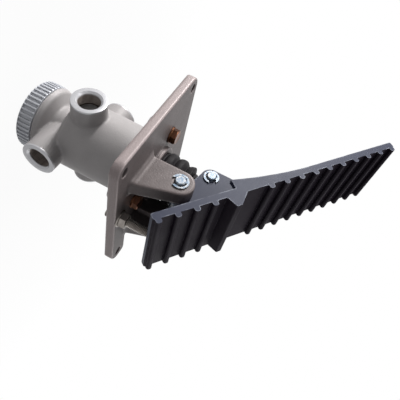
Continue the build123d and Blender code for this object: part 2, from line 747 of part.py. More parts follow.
save("mounting_plate", mounting_plate())
save("valve_body", valve_body())
save("body_seal", seal_ring(body_seal_at_r + seal_r, -seal_r - seat_gap))
save("body_bolts", body_bolts())
save("body_bolt_washers", body_bolt_washers())
save("stop_screw", stop_screw())
save("stop_lock_washer", stop_lock_washer())
save("stop_lock_nut", stop_lock_nut())
save("pedal", pedal())
save("pivot_bushes", pivot_bushes())
save("pivot_pin", cross_pin(pivot_x, pivot_z, pivot_pin_r, ear_outer_y + end_play))
save("pivot_clips", clip_pair(
    pivot_x, pivot_z, pivot_pin_r, pivot_clip_r, pivot_clip_mouth_angle, ear_outer_y + end_play))
save("roller", roller())
save("roller_pin", cross_pin(roller_x, roller_z, roller_pin_r, flange_outer_y + end_play))
save("roller_clips", clip_pair(
    roller_x, roller_z, roller_pin_r, roller_clip_r, roller_clip_mouth_angle, flange_outer_y + end_play))
save("plunger", plunger())
save("plunger_bush", plunger_bush())
save("plunger_boot", plunger_boot())
save("spring_seat", spring_seat())
save("graduating_spring", coil(
    graduating_r, graduating_wire_r, graduating_low, graduating_high, graduating_turns))
save("primary_piston", primary_piston())
save("primary_piston_seal", seal_ring(piston_bore_r - slide_gap, -piston_top - piston_thick / 2))
save("primary_return_spring", coil(
    return_spring_r, return_wire_r, -piston_bore_depth + seat_gap, -piston_top - piston_thick - seat_gap,
    return_turns))
save("primary_valve", hollow_valve(valve_1_top))
save("primary_valve_cage", valve_cage(upper_bore_r - seat_gap, cage_1_low))
save("primary_valve_spring", coil(
    valve_spring_r, valve_wire_r, cage_1_low + cage_floor + seat_gap, valve_1_top - valve_disc_thick - seat_gap,
    valve_spring_turns))
save("primary_snap_ring", snap_ring(upper_bore_r, snap_1_low))
save("relay_piston", relay_piston())
save("relay_piston_seal", seal_ring(upper_bore_r - slide_gap, relay_top - relay_thick / 2))
save("secondary_seat", secondary_seat())
save("secondary_seat_seal", seal_ring(lower_bore_r - seat_gap, (seat_2_low + seat_2_top) / 2))
save("secondary_valve", hollow_valve(valve_2_top))
save("secondary_valve_cage", secondary_valve_cage())
save("secondary_cage_seal", seal_ring(lower_bore_r - seat_gap, cage_2_low + cage_floor / 2))
save("secondary_valve_spring", coil(
    valve_spring_r, valve_wire_r, cage_2_low + cage_floor + seat_gap, valve_2_top - valve_disc_thick - seat_gap,
    valve_spring_turns))
save("secondary_snap_ring", snap_ring(lower_bore_r, snap_2_low))
save("exhaust_cap", exhaust_cap())
save("exhaust_flap", exhaust_flap())
save("exhaust_flap_washer", flap_washer())
save("exhaust_flap_screw", flap_screw())
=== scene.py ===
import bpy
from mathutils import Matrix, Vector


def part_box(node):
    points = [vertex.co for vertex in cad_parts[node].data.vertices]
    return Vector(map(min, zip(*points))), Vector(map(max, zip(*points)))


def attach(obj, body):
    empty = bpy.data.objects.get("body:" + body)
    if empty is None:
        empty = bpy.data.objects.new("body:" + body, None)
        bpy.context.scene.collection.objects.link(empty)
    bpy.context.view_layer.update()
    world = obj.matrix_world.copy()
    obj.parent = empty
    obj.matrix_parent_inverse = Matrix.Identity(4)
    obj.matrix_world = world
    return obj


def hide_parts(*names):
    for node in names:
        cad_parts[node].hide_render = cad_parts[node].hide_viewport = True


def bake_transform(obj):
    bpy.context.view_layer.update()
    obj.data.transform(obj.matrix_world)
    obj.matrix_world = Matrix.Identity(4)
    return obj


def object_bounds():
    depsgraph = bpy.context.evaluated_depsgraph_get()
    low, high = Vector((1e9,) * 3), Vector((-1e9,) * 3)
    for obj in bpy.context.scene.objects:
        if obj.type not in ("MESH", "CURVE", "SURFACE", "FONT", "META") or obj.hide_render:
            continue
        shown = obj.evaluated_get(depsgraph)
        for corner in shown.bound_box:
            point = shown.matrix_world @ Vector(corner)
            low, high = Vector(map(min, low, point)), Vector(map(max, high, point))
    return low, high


bl_info = {
    "name": "Foot brake valve",
    "version": (1, 0, 0),
    "blender": (4, 5, 0),
    "location": "View3D > Sidebar > Brake valve",
    "description": "Dresses a foot brake valve with its castings, plated parts, tread and bellows",
    "category": "Object",
}

from math import cos, pi, radians, sin, tan

import bmesh
import bpy
import numpy as np
from mathutils import Matrix, Vector

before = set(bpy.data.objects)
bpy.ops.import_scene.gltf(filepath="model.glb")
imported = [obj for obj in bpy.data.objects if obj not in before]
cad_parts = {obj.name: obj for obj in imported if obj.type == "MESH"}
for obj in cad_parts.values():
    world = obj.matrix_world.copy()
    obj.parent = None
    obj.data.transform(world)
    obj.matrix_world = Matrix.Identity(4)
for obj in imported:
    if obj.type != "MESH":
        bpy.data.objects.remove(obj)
cad_corners = [[float(value) for value in corner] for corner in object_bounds()]

# Camera of the photograph, in the valve's frame
CAMERA_PLACE = (-0.24492454, 0.31508489, 0.10133093)
CAMERA_RIGHT = (0.41452504, 0.19790987, 0.88825710)
CAMERA_UP = (0.68290616, 0.57749850, -0.44736412)
CAMERA_BACK = (-0.60150491, 0.79203988, 0.10423372)
CAMERA_LENS = 38.857

# Places and sizes that follow the solids, in metres
PLATE_SIDE = 0.140
PLATE_THICK = 0.009
PLATE_CORNER_R = 0.011
PLATE_CORNER_AT = PLATE_SIDE / 2 - PLATE_CORNER_R
MOUNT_AT = 0.060
MOUNT_HOLE_R = 0.0045
BOLT_HOLE_R = 0.0044
STOP_HOLE_R = 0.0041
PORTS = (
    ((0, 1, 0), 0.0490, -0.062),
    ((1, 0, 0), 0.0435, -0.054),
    ((-1, 0, 0), 0.0468, -0.085),
    ((0, -1, 0), 0.0460, -0.061),
)
PORT_R = 0.0164
PORT_BORE_R = 0.0102
PORT_DEPTH = 0.014
PORT_CHAMFER = 0.0018
BOLT_CIRCLE_R = 0.0382
BOLT_ANGLES = (49.5, 180.0, 310.5)
BOLT_R = 0.004
BOLT_HEAD_FLATS = 0.013
BOLT_HEAD_HEIGHT = 0.0053
STOP_SCREW_X = -0.062
STOP_SCREW_R = 0.004
STOP_SOCKET_FLATS = 0.004
STOP_SOCKET_DEPTH = 0.003
PLATE_HOLES = [((MOUNT_AT * x, MOUNT_AT * y), MOUNT_HOLE_R) for x in (-1, 1) for y in (-1, 1)]
PLATE_HOLES += [((BOLT_CIRCLE_R * cos(radians(turn)), BOLT_CIRCLE_R * sin(radians(turn))), BOLT_HOLE_R)
                for turn in BOLT_ANGLES]
PLATE_HOLES.append(((STOP_SCREW_X, 0.0), STOP_HOLE_R))
TREAD_ANGLE = radians(38.1)
TREAD_UNDER = 0.0718
CAP_SPIGOT_R = 0.0301
CAP_SPIGOT_FLOOR = -0.10875
CAP_LEDGE_R = 0.027
CAP_END_INSIDE = -0.112
CAP_RECESS_R = 0.019
CAP_RECESS_FLOOR = -0.115
EXHAUST_HOLE_R = 0.003
EXHAUST_HOLE_CIRCLE_R = 0.0105
EXHAUST_HOLE_COUNT = 6
FLAP_SCREW_HOLE_R = 0.0026
BOOT_FOLDS = (
    (0.0233, 0.12), (0.0236, 0.21), (0.0231, 0.295), (0.0213, 0.36), (0.0223, 0.42), (0.0229, 0.50),
    (0.0225, 0.59), (0.0205, 0.65), (0.0187, 0.695), (0.0197, 0.745), (0.0205, 0.82), (0.0203, 0.89))
BOOT_COLLAR_R = 0.01705
BOOT_NECK_R = 0.00965
BOOT_BASE_R = 0.0225
BOOT_TOP_R = 0.0150
MILLIMETRE = 0.001


class BrakeValveSizes(bpy.types.PropertyGroup):
    """Sizes of the detail that Blender adds to the solids"""

    casting_step: bpy.props.FloatProperty(
        name="Casting step", description="Size of the voxels that the castings are made from",
        default=0.0009, min=0.0005, max=0.003, precision=4, unit="LENGTH")
    casting_softness: bpy.props.IntProperty(
        name="Casting softness", description="Passes of smoothing that round the edges of the castings",
        default=3, min=0, max=20)
    paint_edge: bpy.props.FloatProperty(
        name="Pedal edge", description="Width of the rounding on the edges of the pedal",
        default=0.0006, min=0.0001, max=0.002, precision=4, unit="LENGTH")
    plated_edge: bpy.props.FloatProperty(
        name="Plated edge", description="Width of the rounding on the edges of the plated parts",
        default=0.00018, min=0.00005, max=0.001, precision=5, unit="LENGTH")
    port_thread_pitch: bpy.props.FloatProperty(
        name="Port thread pitch", description="Pitch of the threads in the ports",
        default=0.0015, min=0.0005, max=0.003, precision=4, unit="LENGTH")
    port_thread_depth: bpy.props.FloatProperty(
        name="Port thread depth", description="Depth of the threads in the ports",
        default=0.0008, min=0.0002, max=0.002, precision=4, unit="LENGTH")
    stop_thread_pitch: bpy.props.FloatProperty(
        name="Stop screw pitch", description="Pitch of the stop screw's thread",
        default=0.00125, min=0.0005, max=0.003, precision=5, unit="LENGTH")
    stop_thread_depth: bpy.props.FloatProperty(
        name="Stop screw depth", description="Depth of the stop screw's thread",
        default=0.0006, min=0.0002, max=0.001, precision=4, unit="LENGTH")
    cap_rib_count: bpy.props.IntProperty(
        name="Cap ribs", description="Ribs round the cap", default=48, min=12, max=120)
    cap_rib_depth: bpy.props.FloatProperty(
        name="Cap rib depth", description="Height of the cap's ribs above the grooves between them",
        default=0.0014, min=0.0002, max=0.003, precision=4, unit="LENGTH")
    cap_rib_share: bpy.props.FloatProperty(
        name="Cap rib share", description="Share of the pitch that a rib takes", default=0.42, min=0.2, max=0.8)
    boot_wall: bpy.props.FloatProperty(
        name="Boot wall", description="Thickness of the bellows' rubber",
        default=0.0018, min=0.0008, max=0.003, precision=4, unit="LENGTH")


class BrakeValveFinishes(bpy.types.PropertyGroup):
    """Colours of the finishes"""

    plate: bpy.props.FloatVectorProperty(
        name="Plate casting", description="Colour of the mounting plate's cast metal",
        subtype="COLOR", size=3, min=0, max=1, default=(0.102, 0.086, 0.085))
    body: bpy.props.FloatVectorProperty(
        name="Body casting", description="Colour of the valve body's blasted metal",
        subtype="COLOR", size=3, min=0, max=1, default=(0.355, 0.338, 0.338))
    cap: bpy.props.FloatVectorProperty(
        name="Cap casting", description="Colour of the ribbed cap",
        subtype="COLOR", size=3, min=0, max=1, default=(0.440, 0.450, 0.480))
    machined: bpy.props.FloatVectorProperty(
        name="Machined metal", description="Colour of the turned port faces",
        subtype="COLOR", size=3, min=0, max=1, default=(0.500, 0.500, 0.520))
    zinc: bpy.props.FloatVectorProperty(
        name="Bright zinc", description="Colour of the pins, clips and stop screw",
        subtype="COLOR", size=3, min=0, max=1, default=(0.250, 0.250, 0.250))
    yellow_zinc: bpy.props.FloatVectorProperty(
        name="Yellow zinc", description="Colour of the body's bolts",
        subtype="COLOR", size=3, min=0, max=1, default=(0.150, 0.075, 0.038))
    paint: bpy.props.FloatVectorProperty(
        name="Pedal paint", description="Colour of the pedal's slate paint",
        subtype="COLOR", size=3, min=0, max=1, default=(0.037, 0.042, 0.069))
    # Tread colour: the pedal's paint darkened as painted shade, for the faces turned from the lit sides.
    tread: bpy.props.FloatVectorProperty(
        name="Tread", description="Colour of the tread that the foot rests on",
        subtype="COLOR", size=3, min=0, max=1, default=(0.008, 0.005, 0.010))
    rubber: bpy.props.FloatVectorProperty(
        name="Rubber", description="Colour of the bellows and seals",
        subtype="COLOR", size=3, min=0, max=1, default=(0.010, 0.009, 0.010))


# Small helpers for nodes

def place(tree, kind, sockets=None, **settings):
    """Add a node, set its options, and link or set its inputs."""
    made = tree.nodes.new(kind)
    for name, value in settings.items():
        setattr(made, name, value)
    for name, value in (sockets or {}).items():
        if isinstance(value, bpy.types.NodeSocket):
            tree.links.new(value, made.inputs[name])
        else:
            made.inputs[name].default_value = value
    return made


def math(tree, operation, *values, clamp=False):
    """Result of a math node on sockets or numbers."""
    made = place(tree, "ShaderNodeMath", dict(enumerate(values)), operation=operation, use_clamp=clamp)
    return made.outputs[0]


def mixed(tree, share, first, second, blend="MIX"):
    """Colour between two colours, by a share."""
    made = place(tree, "ShaderNodeMix", {0: share, 6: first, 7: second}, data_type="RGBA", blend_type=blend)
    return made.outputs[2]


def stretched(tree, value, low, high, new_low=0.0, new_high=1.0):
    """A value moved from one range to another, and held inside it."""
    return place(tree, "ShaderNodeMapRange", {
        "Value": value, "From Min": low, "From Max": high, "To Min": new_low, "To Max": new_high}).outputs[0]


def rgba(colour, gain=1.0):
    """Colour with alpha, brightened or darkened."""
    return tuple(min(1.0, channel * gain) for channel in colour[:3]) + (1.0,)


def effect(name, inputs, outputs):
    """Start a shader node group with named inputs and outputs."""
    tree = bpy.data.node_groups.new(name, "ShaderNodeTree")
    for socket, kind, default in inputs:
        tree.interface.new_socket(socket, in_out="INPUT", socket_type=kind).default_value = default
    for socket, kind in outputs:
        tree.interface.new_socket(socket, in_out="OUTPUT", socket_type=kind)
    return tree, tree.nodes.new("NodeGroupInput"), tree.nodes.new("NodeGroupOutput")


def grain_effect():
    """Blasted or cast skin: broad patches, fine specks, and the height of both."""
    tree, given, result = effect(
        "cast_grain",
        [("Patch Scale", "NodeSocketFloat", 60.0), ("Grain Scale", "NodeSocketFloat", 1300.0)],
        [("Patches", "NodeSocketFloat"), ("Specks", "NodeSocketFloat"), ("Height", "NodeSocketFloat")])
    where = place(tree, "ShaderNodeTexCoord").outputs["Object"]
    patches = place(tree, "ShaderNodeTexNoise", {
        "Vector": where, "Scale": given.outputs["Patch Scale"], "Detail": 4.0, "Roughness": 0.55})
    grain = place(tree, "ShaderNodeTexNoise", {
        "Vector": where, "Scale": given.outputs["Grain Scale"], "Detail": 2.5, "Roughness": 0.6})
    pits = place(tree, "ShaderNodeTexVoronoi", {
        "Vector": where, "Scale": math(tree, "MULTIPLY", given.outputs["Grain Scale"], 0.42)})
    pit = stretched(tree, pits.outputs["Distance"], 0.05, 0.55)
    height = math(tree, "ADD", math(tree, "MULTIPLY", grain.outputs[0], 0.7), math(tree, "MULTIPLY", pit, 0.35))
    tree.links.new(stretched(tree, patches.outputs[0], 0.3, 0.7), result.inputs["Patches"])
    tree.links.new(stretched(tree, grain.outputs[0], 0.28, 0.72), result.inputs["Specks"])
    tree.links.new(height, result.inputs["Height"])
    return tree


def ridge_sheen_hollow_shade_effect():
    """Masks of a dense mesh's ridges, which the skins lighten as wear and painted highlight, and of its hollows, which
    they darken as painted shade, broken up by a little noise.
    """
    tree, given, result = effect(
        "cast_ridges",
        [("Reach", "NodeSocketFloat", 0.05), ("Break Up", "NodeSocketFloat", 0.5)],
        [("Ridges", "NodeSocketFloat"), ("Hollows", "NodeSocketFloat")])
    where = place(tree, "ShaderNodeTexCoord").outputs["Object"]
    point = place(tree, "ShaderNodeNewGeometry").outputs["Pointiness"]
    noise = place(tree, "ShaderNodeTexNoise", {"Vector": where, "Scale": 420.0, "Detail": 3.0}).outputs[0]
    keep = math(tree, "SUBTRACT", 1.0, math(tree, "MULTIPLY", given.outputs["Break Up"], noise))
    above = math(tree, "SUBTRACT", point, 0.505)
    below = math(tree, "SUBTRACT", 0.495, point)
    # Ridge mask for wear and painted highlight; hollow mask for painted shade in creases.
    ridge_sheen_mask = math(tree, "DIVIDE", above, given.outputs["Reach"], clamp=True)
    hollow_shade_mask = math(tree, "DIVIDE", below, given.outputs["Reach"], clamp=True)
    tree.links.new(math(tree, "MULTIPLY", ridge_sheen_mask, keep), result.inputs["Ridges"])
    tree.links.new(math(tree, "MULTIPLY", hollow_shade_mask, keep), result.inputs["Hollows"])
    return tree


def edge_wear_highlight_effect():
    """Edges of a sharp-cornered piece, brightened in patches as wear and painted highlight."""
    tree, given, result = effect(
        "worn_edges",
        [("Width", "NodeSocketFloat", 0.0006), ("Break Up Scale", "NodeSocketFloat", 160.0)],
        [("Wear", "NodeSocketFloat")])
    where = place(tree, "ShaderNodeTexCoord").outputs["Object"]
    round_normal = place(tree, "ShaderNodeBevel", {"Radius": given.outputs["Width"]}, samples=4).outputs[0]
    flat_normal = place(tree, "ShaderNodeNewGeometry").outputs["Normal"]
    alike = place(tree, "ShaderNodeVectorMath", {0: round_normal, 1: flat_normal}, operation="DOT_PRODUCT")
    # Edge mask for brightening: wear and painted highlight along the edges.
    edge = stretched(tree, alike.outputs["Value"], 0.995, 0.93)
    noise = place(tree, "ShaderNodeTexNoise", {
        "Vector": where, "Scale": given.outputs["Break Up Scale"], "Detail": 5.0}).outputs[0]
    broken_up = stretched(tree, noise, 0.38, 0.62)
    tree.links.new(math(tree, "MULTIPLY", edge, broken_up), result.inputs["Wear"])
    return tree


def turning_effect():
    """Fine rings that a lathe leaves, from the radius and depth kept on the piece."""
    tree, given, result = effect(
        "turning_marks", [("Ring Scale", "NodeSocketFloat", 2600.0)],
        [("Rings", "NodeSocketFloat"), ("Depth", "NodeSocketFloat")])
    kept = place(tree, "ShaderNodeAttribute", attribute_name="turned").outputs["Vector"]
    rings = place(tree, "ShaderNodeTexNoise", {
        "Vector": kept, "Scale": given.outputs["Ring Scale"], "Detail": 2.0}).outputs[0]
    parts = place(tree, "ShaderNodeSeparateXYZ", {0: kept})
    tree.links.new(stretched(tree, rings, 0.3, 0.7), result.inputs["Rings"])
    tree.links.new(parts.outputs["Y"], result.inputs["Depth"])
    return tree


def dust_effect():
    """Thin dust and smears on a dark skin."""
    tree, given, result = effect(
        "handling_dust", [("Smear Scale", "NodeSocketFloat", 45.0), ("Amount", "NodeSocketFloat", 0.5)],
        [("Dust", "NodeSocketFloat"), ("Height", "NodeSocketFloat")])
    where = place(tree, "ShaderNodeTexCoord").outputs["Object"]
    smear = place(tree, "ShaderNodeTexNoise", {
        "Vector": where, "Scale": given.outputs["Smear Scale"], "Detail": 6.0, "Roughness": 0.65}).outputs[0]
    fine = place(tree, "ShaderNodeTexNoise", {"Vector": where, "Scale": 1500.0, "Detail": 2.0}).outputs[0]
    specks = stretched(tree, fine, 0.55, 0.75)
    both = math(tree, "ADD", math(tree, "MULTIPLY", stretched(tree, smear, 0.4, 0.75), 0.7),
                math(tree, "MULTIPLY", specks, 0.3))
    tree.links.new(math(tree, "MULTIPLY", both, given.outputs["Amount"]), result.inputs["Dust"])
    tree.links.new(fine, result.inputs["Height"])
    return tree


def blank_material(name):
    """New node material with nothing but its output and Principled shader."""
    material = bpy.data.materials.new(name)
    material.use_nodes = True
    tree = material.node_tree
    return material, tree, tree.nodes["Principled BSDF"]


def add_effect(tree, group, **values):
    """Place an effect group in a material with its own values."""
    made = place(tree, "ShaderNodeGroup", node_tree=bpy.data.node_groups[group])
    for name, value in values.items():
        made.inputs[name.replace("_", " ")].default_value = value
    return made.outputs


def bumped(tree, shader, height, strength, distance):
    """Feed a height to the shader's normal."""
    bump = place(tree, "ShaderNodeBump", {"Height": height, "Strength": strength, "Distance": distance})
    tree.links.new(bump.outputs[0], shader.inputs["Normal"])


def cast_metal(name, colour, metallic, roughness, patch_gain, ridge_sheen_gain, hollow_shade_gain, grain_scale, bump, rim_gain=1.0):
    """Cast and blasted metal: grey patches, fine grain, ridges lightened as wear and painted highlight, hollows
    darkened as painted shade, and a paler rim.
    """
    material, tree, shader = blank_material(name)
    grain = add_effect(tree, "cast_grain", Patch_Scale=55.0, Grain_Scale=grain_scale)
    edges = add_effect(tree, "cast_ridges", Reach=0.06, Break_Up=0.55)
    skin = mixed(tree, grain["Patches"], rgba(colour, 1 / patch_gain), rgba(colour, patch_gain))
    skin = mixed(tree, math(tree, "MULTIPLY", grain["Specks"], 0.35), skin, rgba(colour, 1.35))
    if rim_gain != 1.0:
        rim = place(tree, "ShaderNodeAttribute", attribute_name="rim").outputs["Fac"]
        blotch = stretched(tree, grain["Specks"], 0.0, 1.0, 0.55, 1.0)
        skin = mixed(tree, math(tree, "MULTIPLY", rim, blotch), skin, rgba(colour, rim_gain))
    # Ridges lightened, part wear and part painted highlight; hollows darkened as painted shade.
    skin = mixed(tree, edges["Ridges"], skin, rgba(colour, ridge_sheen_gain))
    skin = mixed(tree, edges["Hollows"], skin, rgba(colour, hollow_shade_gain))
    tree.links.new(skin, shader.inputs["Base Color"])
    rough = stretched(tree, grain["Specks"], 0.0, 1.0, roughness + 0.08, roughness - 0.08)
    rough = math(tree, "SUBTRACT", rough, math(tree, "MULTIPLY", edges["Ridges"], 0.12))
    tree.links.new(rough, shader.inputs["Roughness"])
    shader.inputs["Metallic"].default_value = metallic
    shader.inputs["Specular IOR Level"].default_value = 0.2
    bumped(tree, shader, grain["Height"], bump, 0.00035)
    return material


def plated_metal(name, colour, stain_and_reflection_tint, roughness, metallic=1.0, patch_scale=150.0):
    """Plated steel: soft patches between two tints, which are stains on most finishes and a painted reflection on
    bright zinc, and corners brightened as wear and painted highlight.
    """
    material, tree, shader = blank_material(name)
    grain = add_effect(tree, "cast_grain", Patch_Scale=patch_scale, Grain_Scale=2400.0)
    edges = add_effect(tree, "worn_edges", Width=0.00035, Break_Up_Scale=300.0)
    # Patches between the tints: stains, and on bright zinc a painted reflection.
    skin = mixed(tree, grain["Patches"], rgba(colour), rgba(stain_and_reflection_tint))
    # Corners brightened as wear and painted highlight.
    skin = mixed(tree, math(tree, "MULTIPLY", edges["Wear"], 0.5), skin, rgba(colour, 1.5))
    tree.links.new(skin, shader.inputs["Base Color"])
    rough = stretched(tree, grain["Specks"], 0.0, 1.0, roughness - 0.05, roughness + 0.1)
    tree.links.new(rough, shader.inputs["Roughness"])
    shader.inputs["Metallic"].default_value = metallic
    bumped(tree, shader, grain["Height"], 0.12, 0.0001)
    return material


def machined_metal(name, colour):
    """Turned port faces, bright at the mouth, with the thread darkened towards the bottom of the bore, part brown rust
    tone and part painted shade.
    """
    material, tree, shader = blank_material(name)
    marks = add_effect(tree, "turning_marks", Ring_Scale=2400.0)
    # Darkening down the bore: a brown rust tone and painted shade in the recess.
    rust_and_shade_depth = stretched(tree, marks["Depth"], -0.0012, -0.0035)
    skin = mixed(tree, marks["Rings"], rgba(colour, 0.86), rgba(colour, 1.12))
    skin = mixed(tree, rust_and_shade_depth, skin, rgba((0.13, 0.105, 0.092)))
    tree.links.new(skin, shader.inputs["Base Color"])
    tree.links.new(stretched(tree, marks["Rings"], 0.0, 1.0, 0.26, 0.42), shader.inputs["Roughness"])
    shader.inputs["Metallic"].default_value = 0.4
    bumped(tree, shader, marks["Rings"], 0.2, 0.00008)
    return material


def satin_paint(name, colour, edge_wear_highlight_colour, roughness, dust_colour, dust_amount, edge_wear_highlight_share, gloss):
    """Satin paint over cast metal: faint orange peel, dust, and edges lightened as wear and painted highlight."""
    material, tree, shader = blank_material(name)
    shader.inputs["Specular IOR Level"].default_value = gloss
    dust = add_effect(tree, "handling_dust", Smear_Scale=38.0, Amount=dust_amount)
    edges = add_effect(tree, "worn_edges", Width=0.0015, Break_Up_Scale=120.0)
    skin = mixed(tree, dust["Dust"], rgba(colour), rgba(dust_colour))
    # Lighter edges: wear and painted highlight.
    skin = mixed(tree, math(tree, "MULTIPLY", edges["Wear"], edge_wear_highlight_share), skin, rgba(edge_wear_highlight_colour))
    tree.links.new(skin, shader.inputs["Base Color"])
    rough = math(tree, "ADD", math(tree, "MULTIPLY", dust["Dust"], 0.25), roughness, clamp=True)
    tree.links.new(rough, shader.inputs["Roughness"])
    bumped(tree, shader, dust["Height"], 0.18, 0.00015)
    return material


def moulded_rubber(name, colour, roughness):
    """Black rubber with a dull bloom, and ridges lightened as painted highlight."""
    material, tree, shader = blank_material(name)
    shader.inputs["Specular IOR Level"].default_value = 0.08
    dust = add_effect(tree, "handling_dust", Smear_Scale=90.0, Amount=0.35)
    edges = add_effect(tree, "cast_ridges", Reach=0.08, Break_Up=0.6)
    skin = mixed(tree, dust["Dust"], rgba(colour), rgba((0.022, 0.020, 0.023)))
    # Lighter ridges: painted highlight.
    skin = mixed(tree, math(tree, "MULTIPLY", edges["Ridges"], 0.5), skin, rgba((0.045, 0.042, 0.045)))
    tree.links.new(skin, shader.inputs["Base Color"])
    tree.links.new(math(tree, "ADD", math(tree, "MULTIPLY", dust["Dust"], 0.3), roughness), shader.inputs["Roughness"])
    bumped(tree, shader, dust["Height"], 0.25, 0.0002)
    return material


def finishes(context):
    """Every finish by its slot in the record, made once."""
    colours = context.scene.brake_valve_finishes
    if "plate_casting_skin" not in bpy.data.materials:
        for make in (grain_effect, ridge_sheen_hollow_shade_effect, edge_wear_highlight_effect, turning_effect, dust_effect):
            make()
        # In each casting the ridge gain lightens ridges as wear and painted highlight, and the hollow gain darkens
        # hollows as painted shade.
        cast_metal("plate_casting_skin", colours.plate, 0.15, 0.44, 1.25, 2.8, 0.45, 1100.0, 0.35, 3.3)
        cast_metal("body_casting_skin", colours.body, 0.12, 0.55, 1.07, 1.4, 0.62, 1500.0, 0.30)
        cast_metal("cap_casting_skin", colours.cap, 0.20, 0.42, 1.06, 1.7, 0.40, 1500.0, 0.20)
        machined_metal("machined_skin", colours.machined)
        # The bright zinc's blue-dark tint is a painted reflection in patches.
        plated_metal("bright_zinc_skin", colours.zinc, (0.040, 0.080, 0.130), 0.42, 0.7, 520.0)
        plated_metal("dull_zinc_skin", (0.27, 0.25, 0.23), (0.17, 0.15, 0.14), 0.32)
        plated_metal("yellow_zinc_skin", colours.yellow_zinc, (0.15, 0.06, 0.04), 0.30)
        # Edge colours of the paint and the tread are wear and painted highlight along the edges.
        satin_paint("pedal_paint_skin", colours.paint, (0.34, 0.36, 0.42), 0.42, (0.055, 0.062, 0.085), 0.35, 0.9, 0.12)
        # Tread: a darker copy of the pedal paint, painted shade.
        satin_paint("tread_skin", colours.tread, (0.085, 0.080, 0.095), 0.5, (0.012, 0.009, 0.013), 0.5, 0.45, 0.04)
        moulded_rubber("black_rubber_skin", colours.rubber, 0.52)
        plated_metal("bronze_skin", (0.42, 0.25, 0.11), (0.33, 0.20, 0.09), 0.36)
        plated_metal("turned_alloy_skin", (0.52, 0.52, 0.53), (0.46, 0.46, 0.48), 0.32)
        plated_metal("spring_steel_skin", (0.30, 0.31, 0.33), (0.24, 0.25, 0.27), 0.34)
    names = ("plate_casting", "body_casting", "cap_casting", "bright_zinc", "yellow_zinc", "pedal_paint",
             "black_rubber", "bronze", "turned_alloy", "spring_steel")
    return {name: bpy.data.materials[name + "_skin"] for name in names}


# Small helpers for shapes

def new_piece(name, shape, materials):
    """Object at the origin from a bmesh, with its materials."""
    mesh = bpy.data.meshes.new(name)
    shape.to_mesh(mesh)
    shape.free()
    if "custom_normal" in mesh.attributes:
        mesh.attributes.remove(mesh.attributes["custom_normal"])
    mesh.materials.clear()
    for material in materials:
        mesh.materials.append(material)
    made = bpy.data.objects.new(name, mesh)
    bpy.context.scene.collection.objects.link(made)
    return made


def points_of(mesh):
    """Every point of a mesh, as rows of three."""
    co = np.zeros(len(mesh.vertices) * 3)
    mesh.vertices.foreach_get("co", co)
    return co.reshape(-1, 3)


def settled(piece):
    """Turn a piece's modifiers into its plain mesh."""
    bpy.context.view_layer.update()
    graph = bpy.context.evaluated_depsgraph_get()
    mesh = bpy.data.meshes.new_from_object(piece.evaluated_get(graph))
    piece.modifiers.clear()
    piece.data = mesh
    mesh.name = piece.name
    return piece


def smooth(piece, angle=35.0):
    """Shade smoothly, with creases where faces meet at more than an angle."""
    piece.data.shade_smooth()
    piece.data.set_sharp_from_angle(angle=radians(angle))
    return piece


def dress(piece, body, slot, *nodes):
    """Let a piece ride on its body and stand for its CAD nodes; the slot of its finish is not used."""
    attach(piece, body)
    if nodes:
        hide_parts(*nodes)
    return piece


def cad_shape(node):
    """Merged bmesh copy of a CAD node."""
    shape = bmesh.new()
    shape.from_mesh(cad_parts[node].data)
    bmesh.ops.remove_doubles(shape, verts=shape.verts[:], dist=1e-6)
    return shape


def softened(node, name, width, materials, segments=2, angle=30.0):
    """Copy of a CAD node with its sharp edges rounded."""
    shape = cad_shape(node)
    bmesh.ops.dissolve_limit(shape, angle_limit=radians(0.5), verts=shape.verts[:], edges=shape.edges[:])
    piece = new_piece(name, shape, materials)
    for face in piece.data.polygons:
        face.material_index = 0
    bevel = piece.modifiers.new("edges", "BEVEL")
    bevel.width = width
    bevel.segments = segments
    bevel.limit_method = "ANGLE"
    bevel.angle_limit = radians(angle)
    bevel.harden_normals = False
    smooth(piece, 40.0)
    weighted = piece.modifiers.new("normals", "WEIGHTED_NORMAL")
    weighted.keep_sharp = True
    return settled(piece)


def cast_copy(node, name, step, passes, materials):
    """Copy of a CAD node as a casting: dense, with every edge softened."""
    piece = new_piece(name, cad_shape(node), materials)
    for face in piece.data.polygons:
        face.material_index = 0
    remesh = piece.modifiers.new("skin", "REMESH")
    remesh.mode = "VOXEL"
    remesh.voxel_size = step
    remesh.use_smooth_shade = True
    soften = piece.modifiers.new("soften", "SMOOTH")
    soften.factor = 0.5
    soften.iterations = passes
    return settled(piece)


def true_hole(piece, centre, radius, low, high, reach=0.0018):
    """Put the points round an upright hole back on its wall or on the faces it opens in."""
    co = points_of(piece.data)
    across = co[:, :2] - np.array(centre)
    away = np.hypot(across[:, 0], across[:, 1])
    near = (np.abs(away - radius) < reach) & (co[:, 2] > low - reach) & (co[:, 2] < high + reach)
    to_face = np.minimum(np.abs(co[:, 2] - low), np.abs(co[:, 2] - high))
    on_wall = near & ((np.abs(away - radius) < to_face) | (away < radius))
    on_face = near & ~on_wall & (to_face < reach)
    co[on_wall, :2] = np.array(centre) + across[on_wall] * (radius / away[on_wall])[:, None]
    co[on_wall, 2] = np.clip(co[on_wall, 2], low, high)
    co[on_face, 2] = np.where(co[on_face, 2] > (low + high) / 2, high, low)
    piece.data.vertices.foreach_set("co", co.ravel())
    piece.data.update()


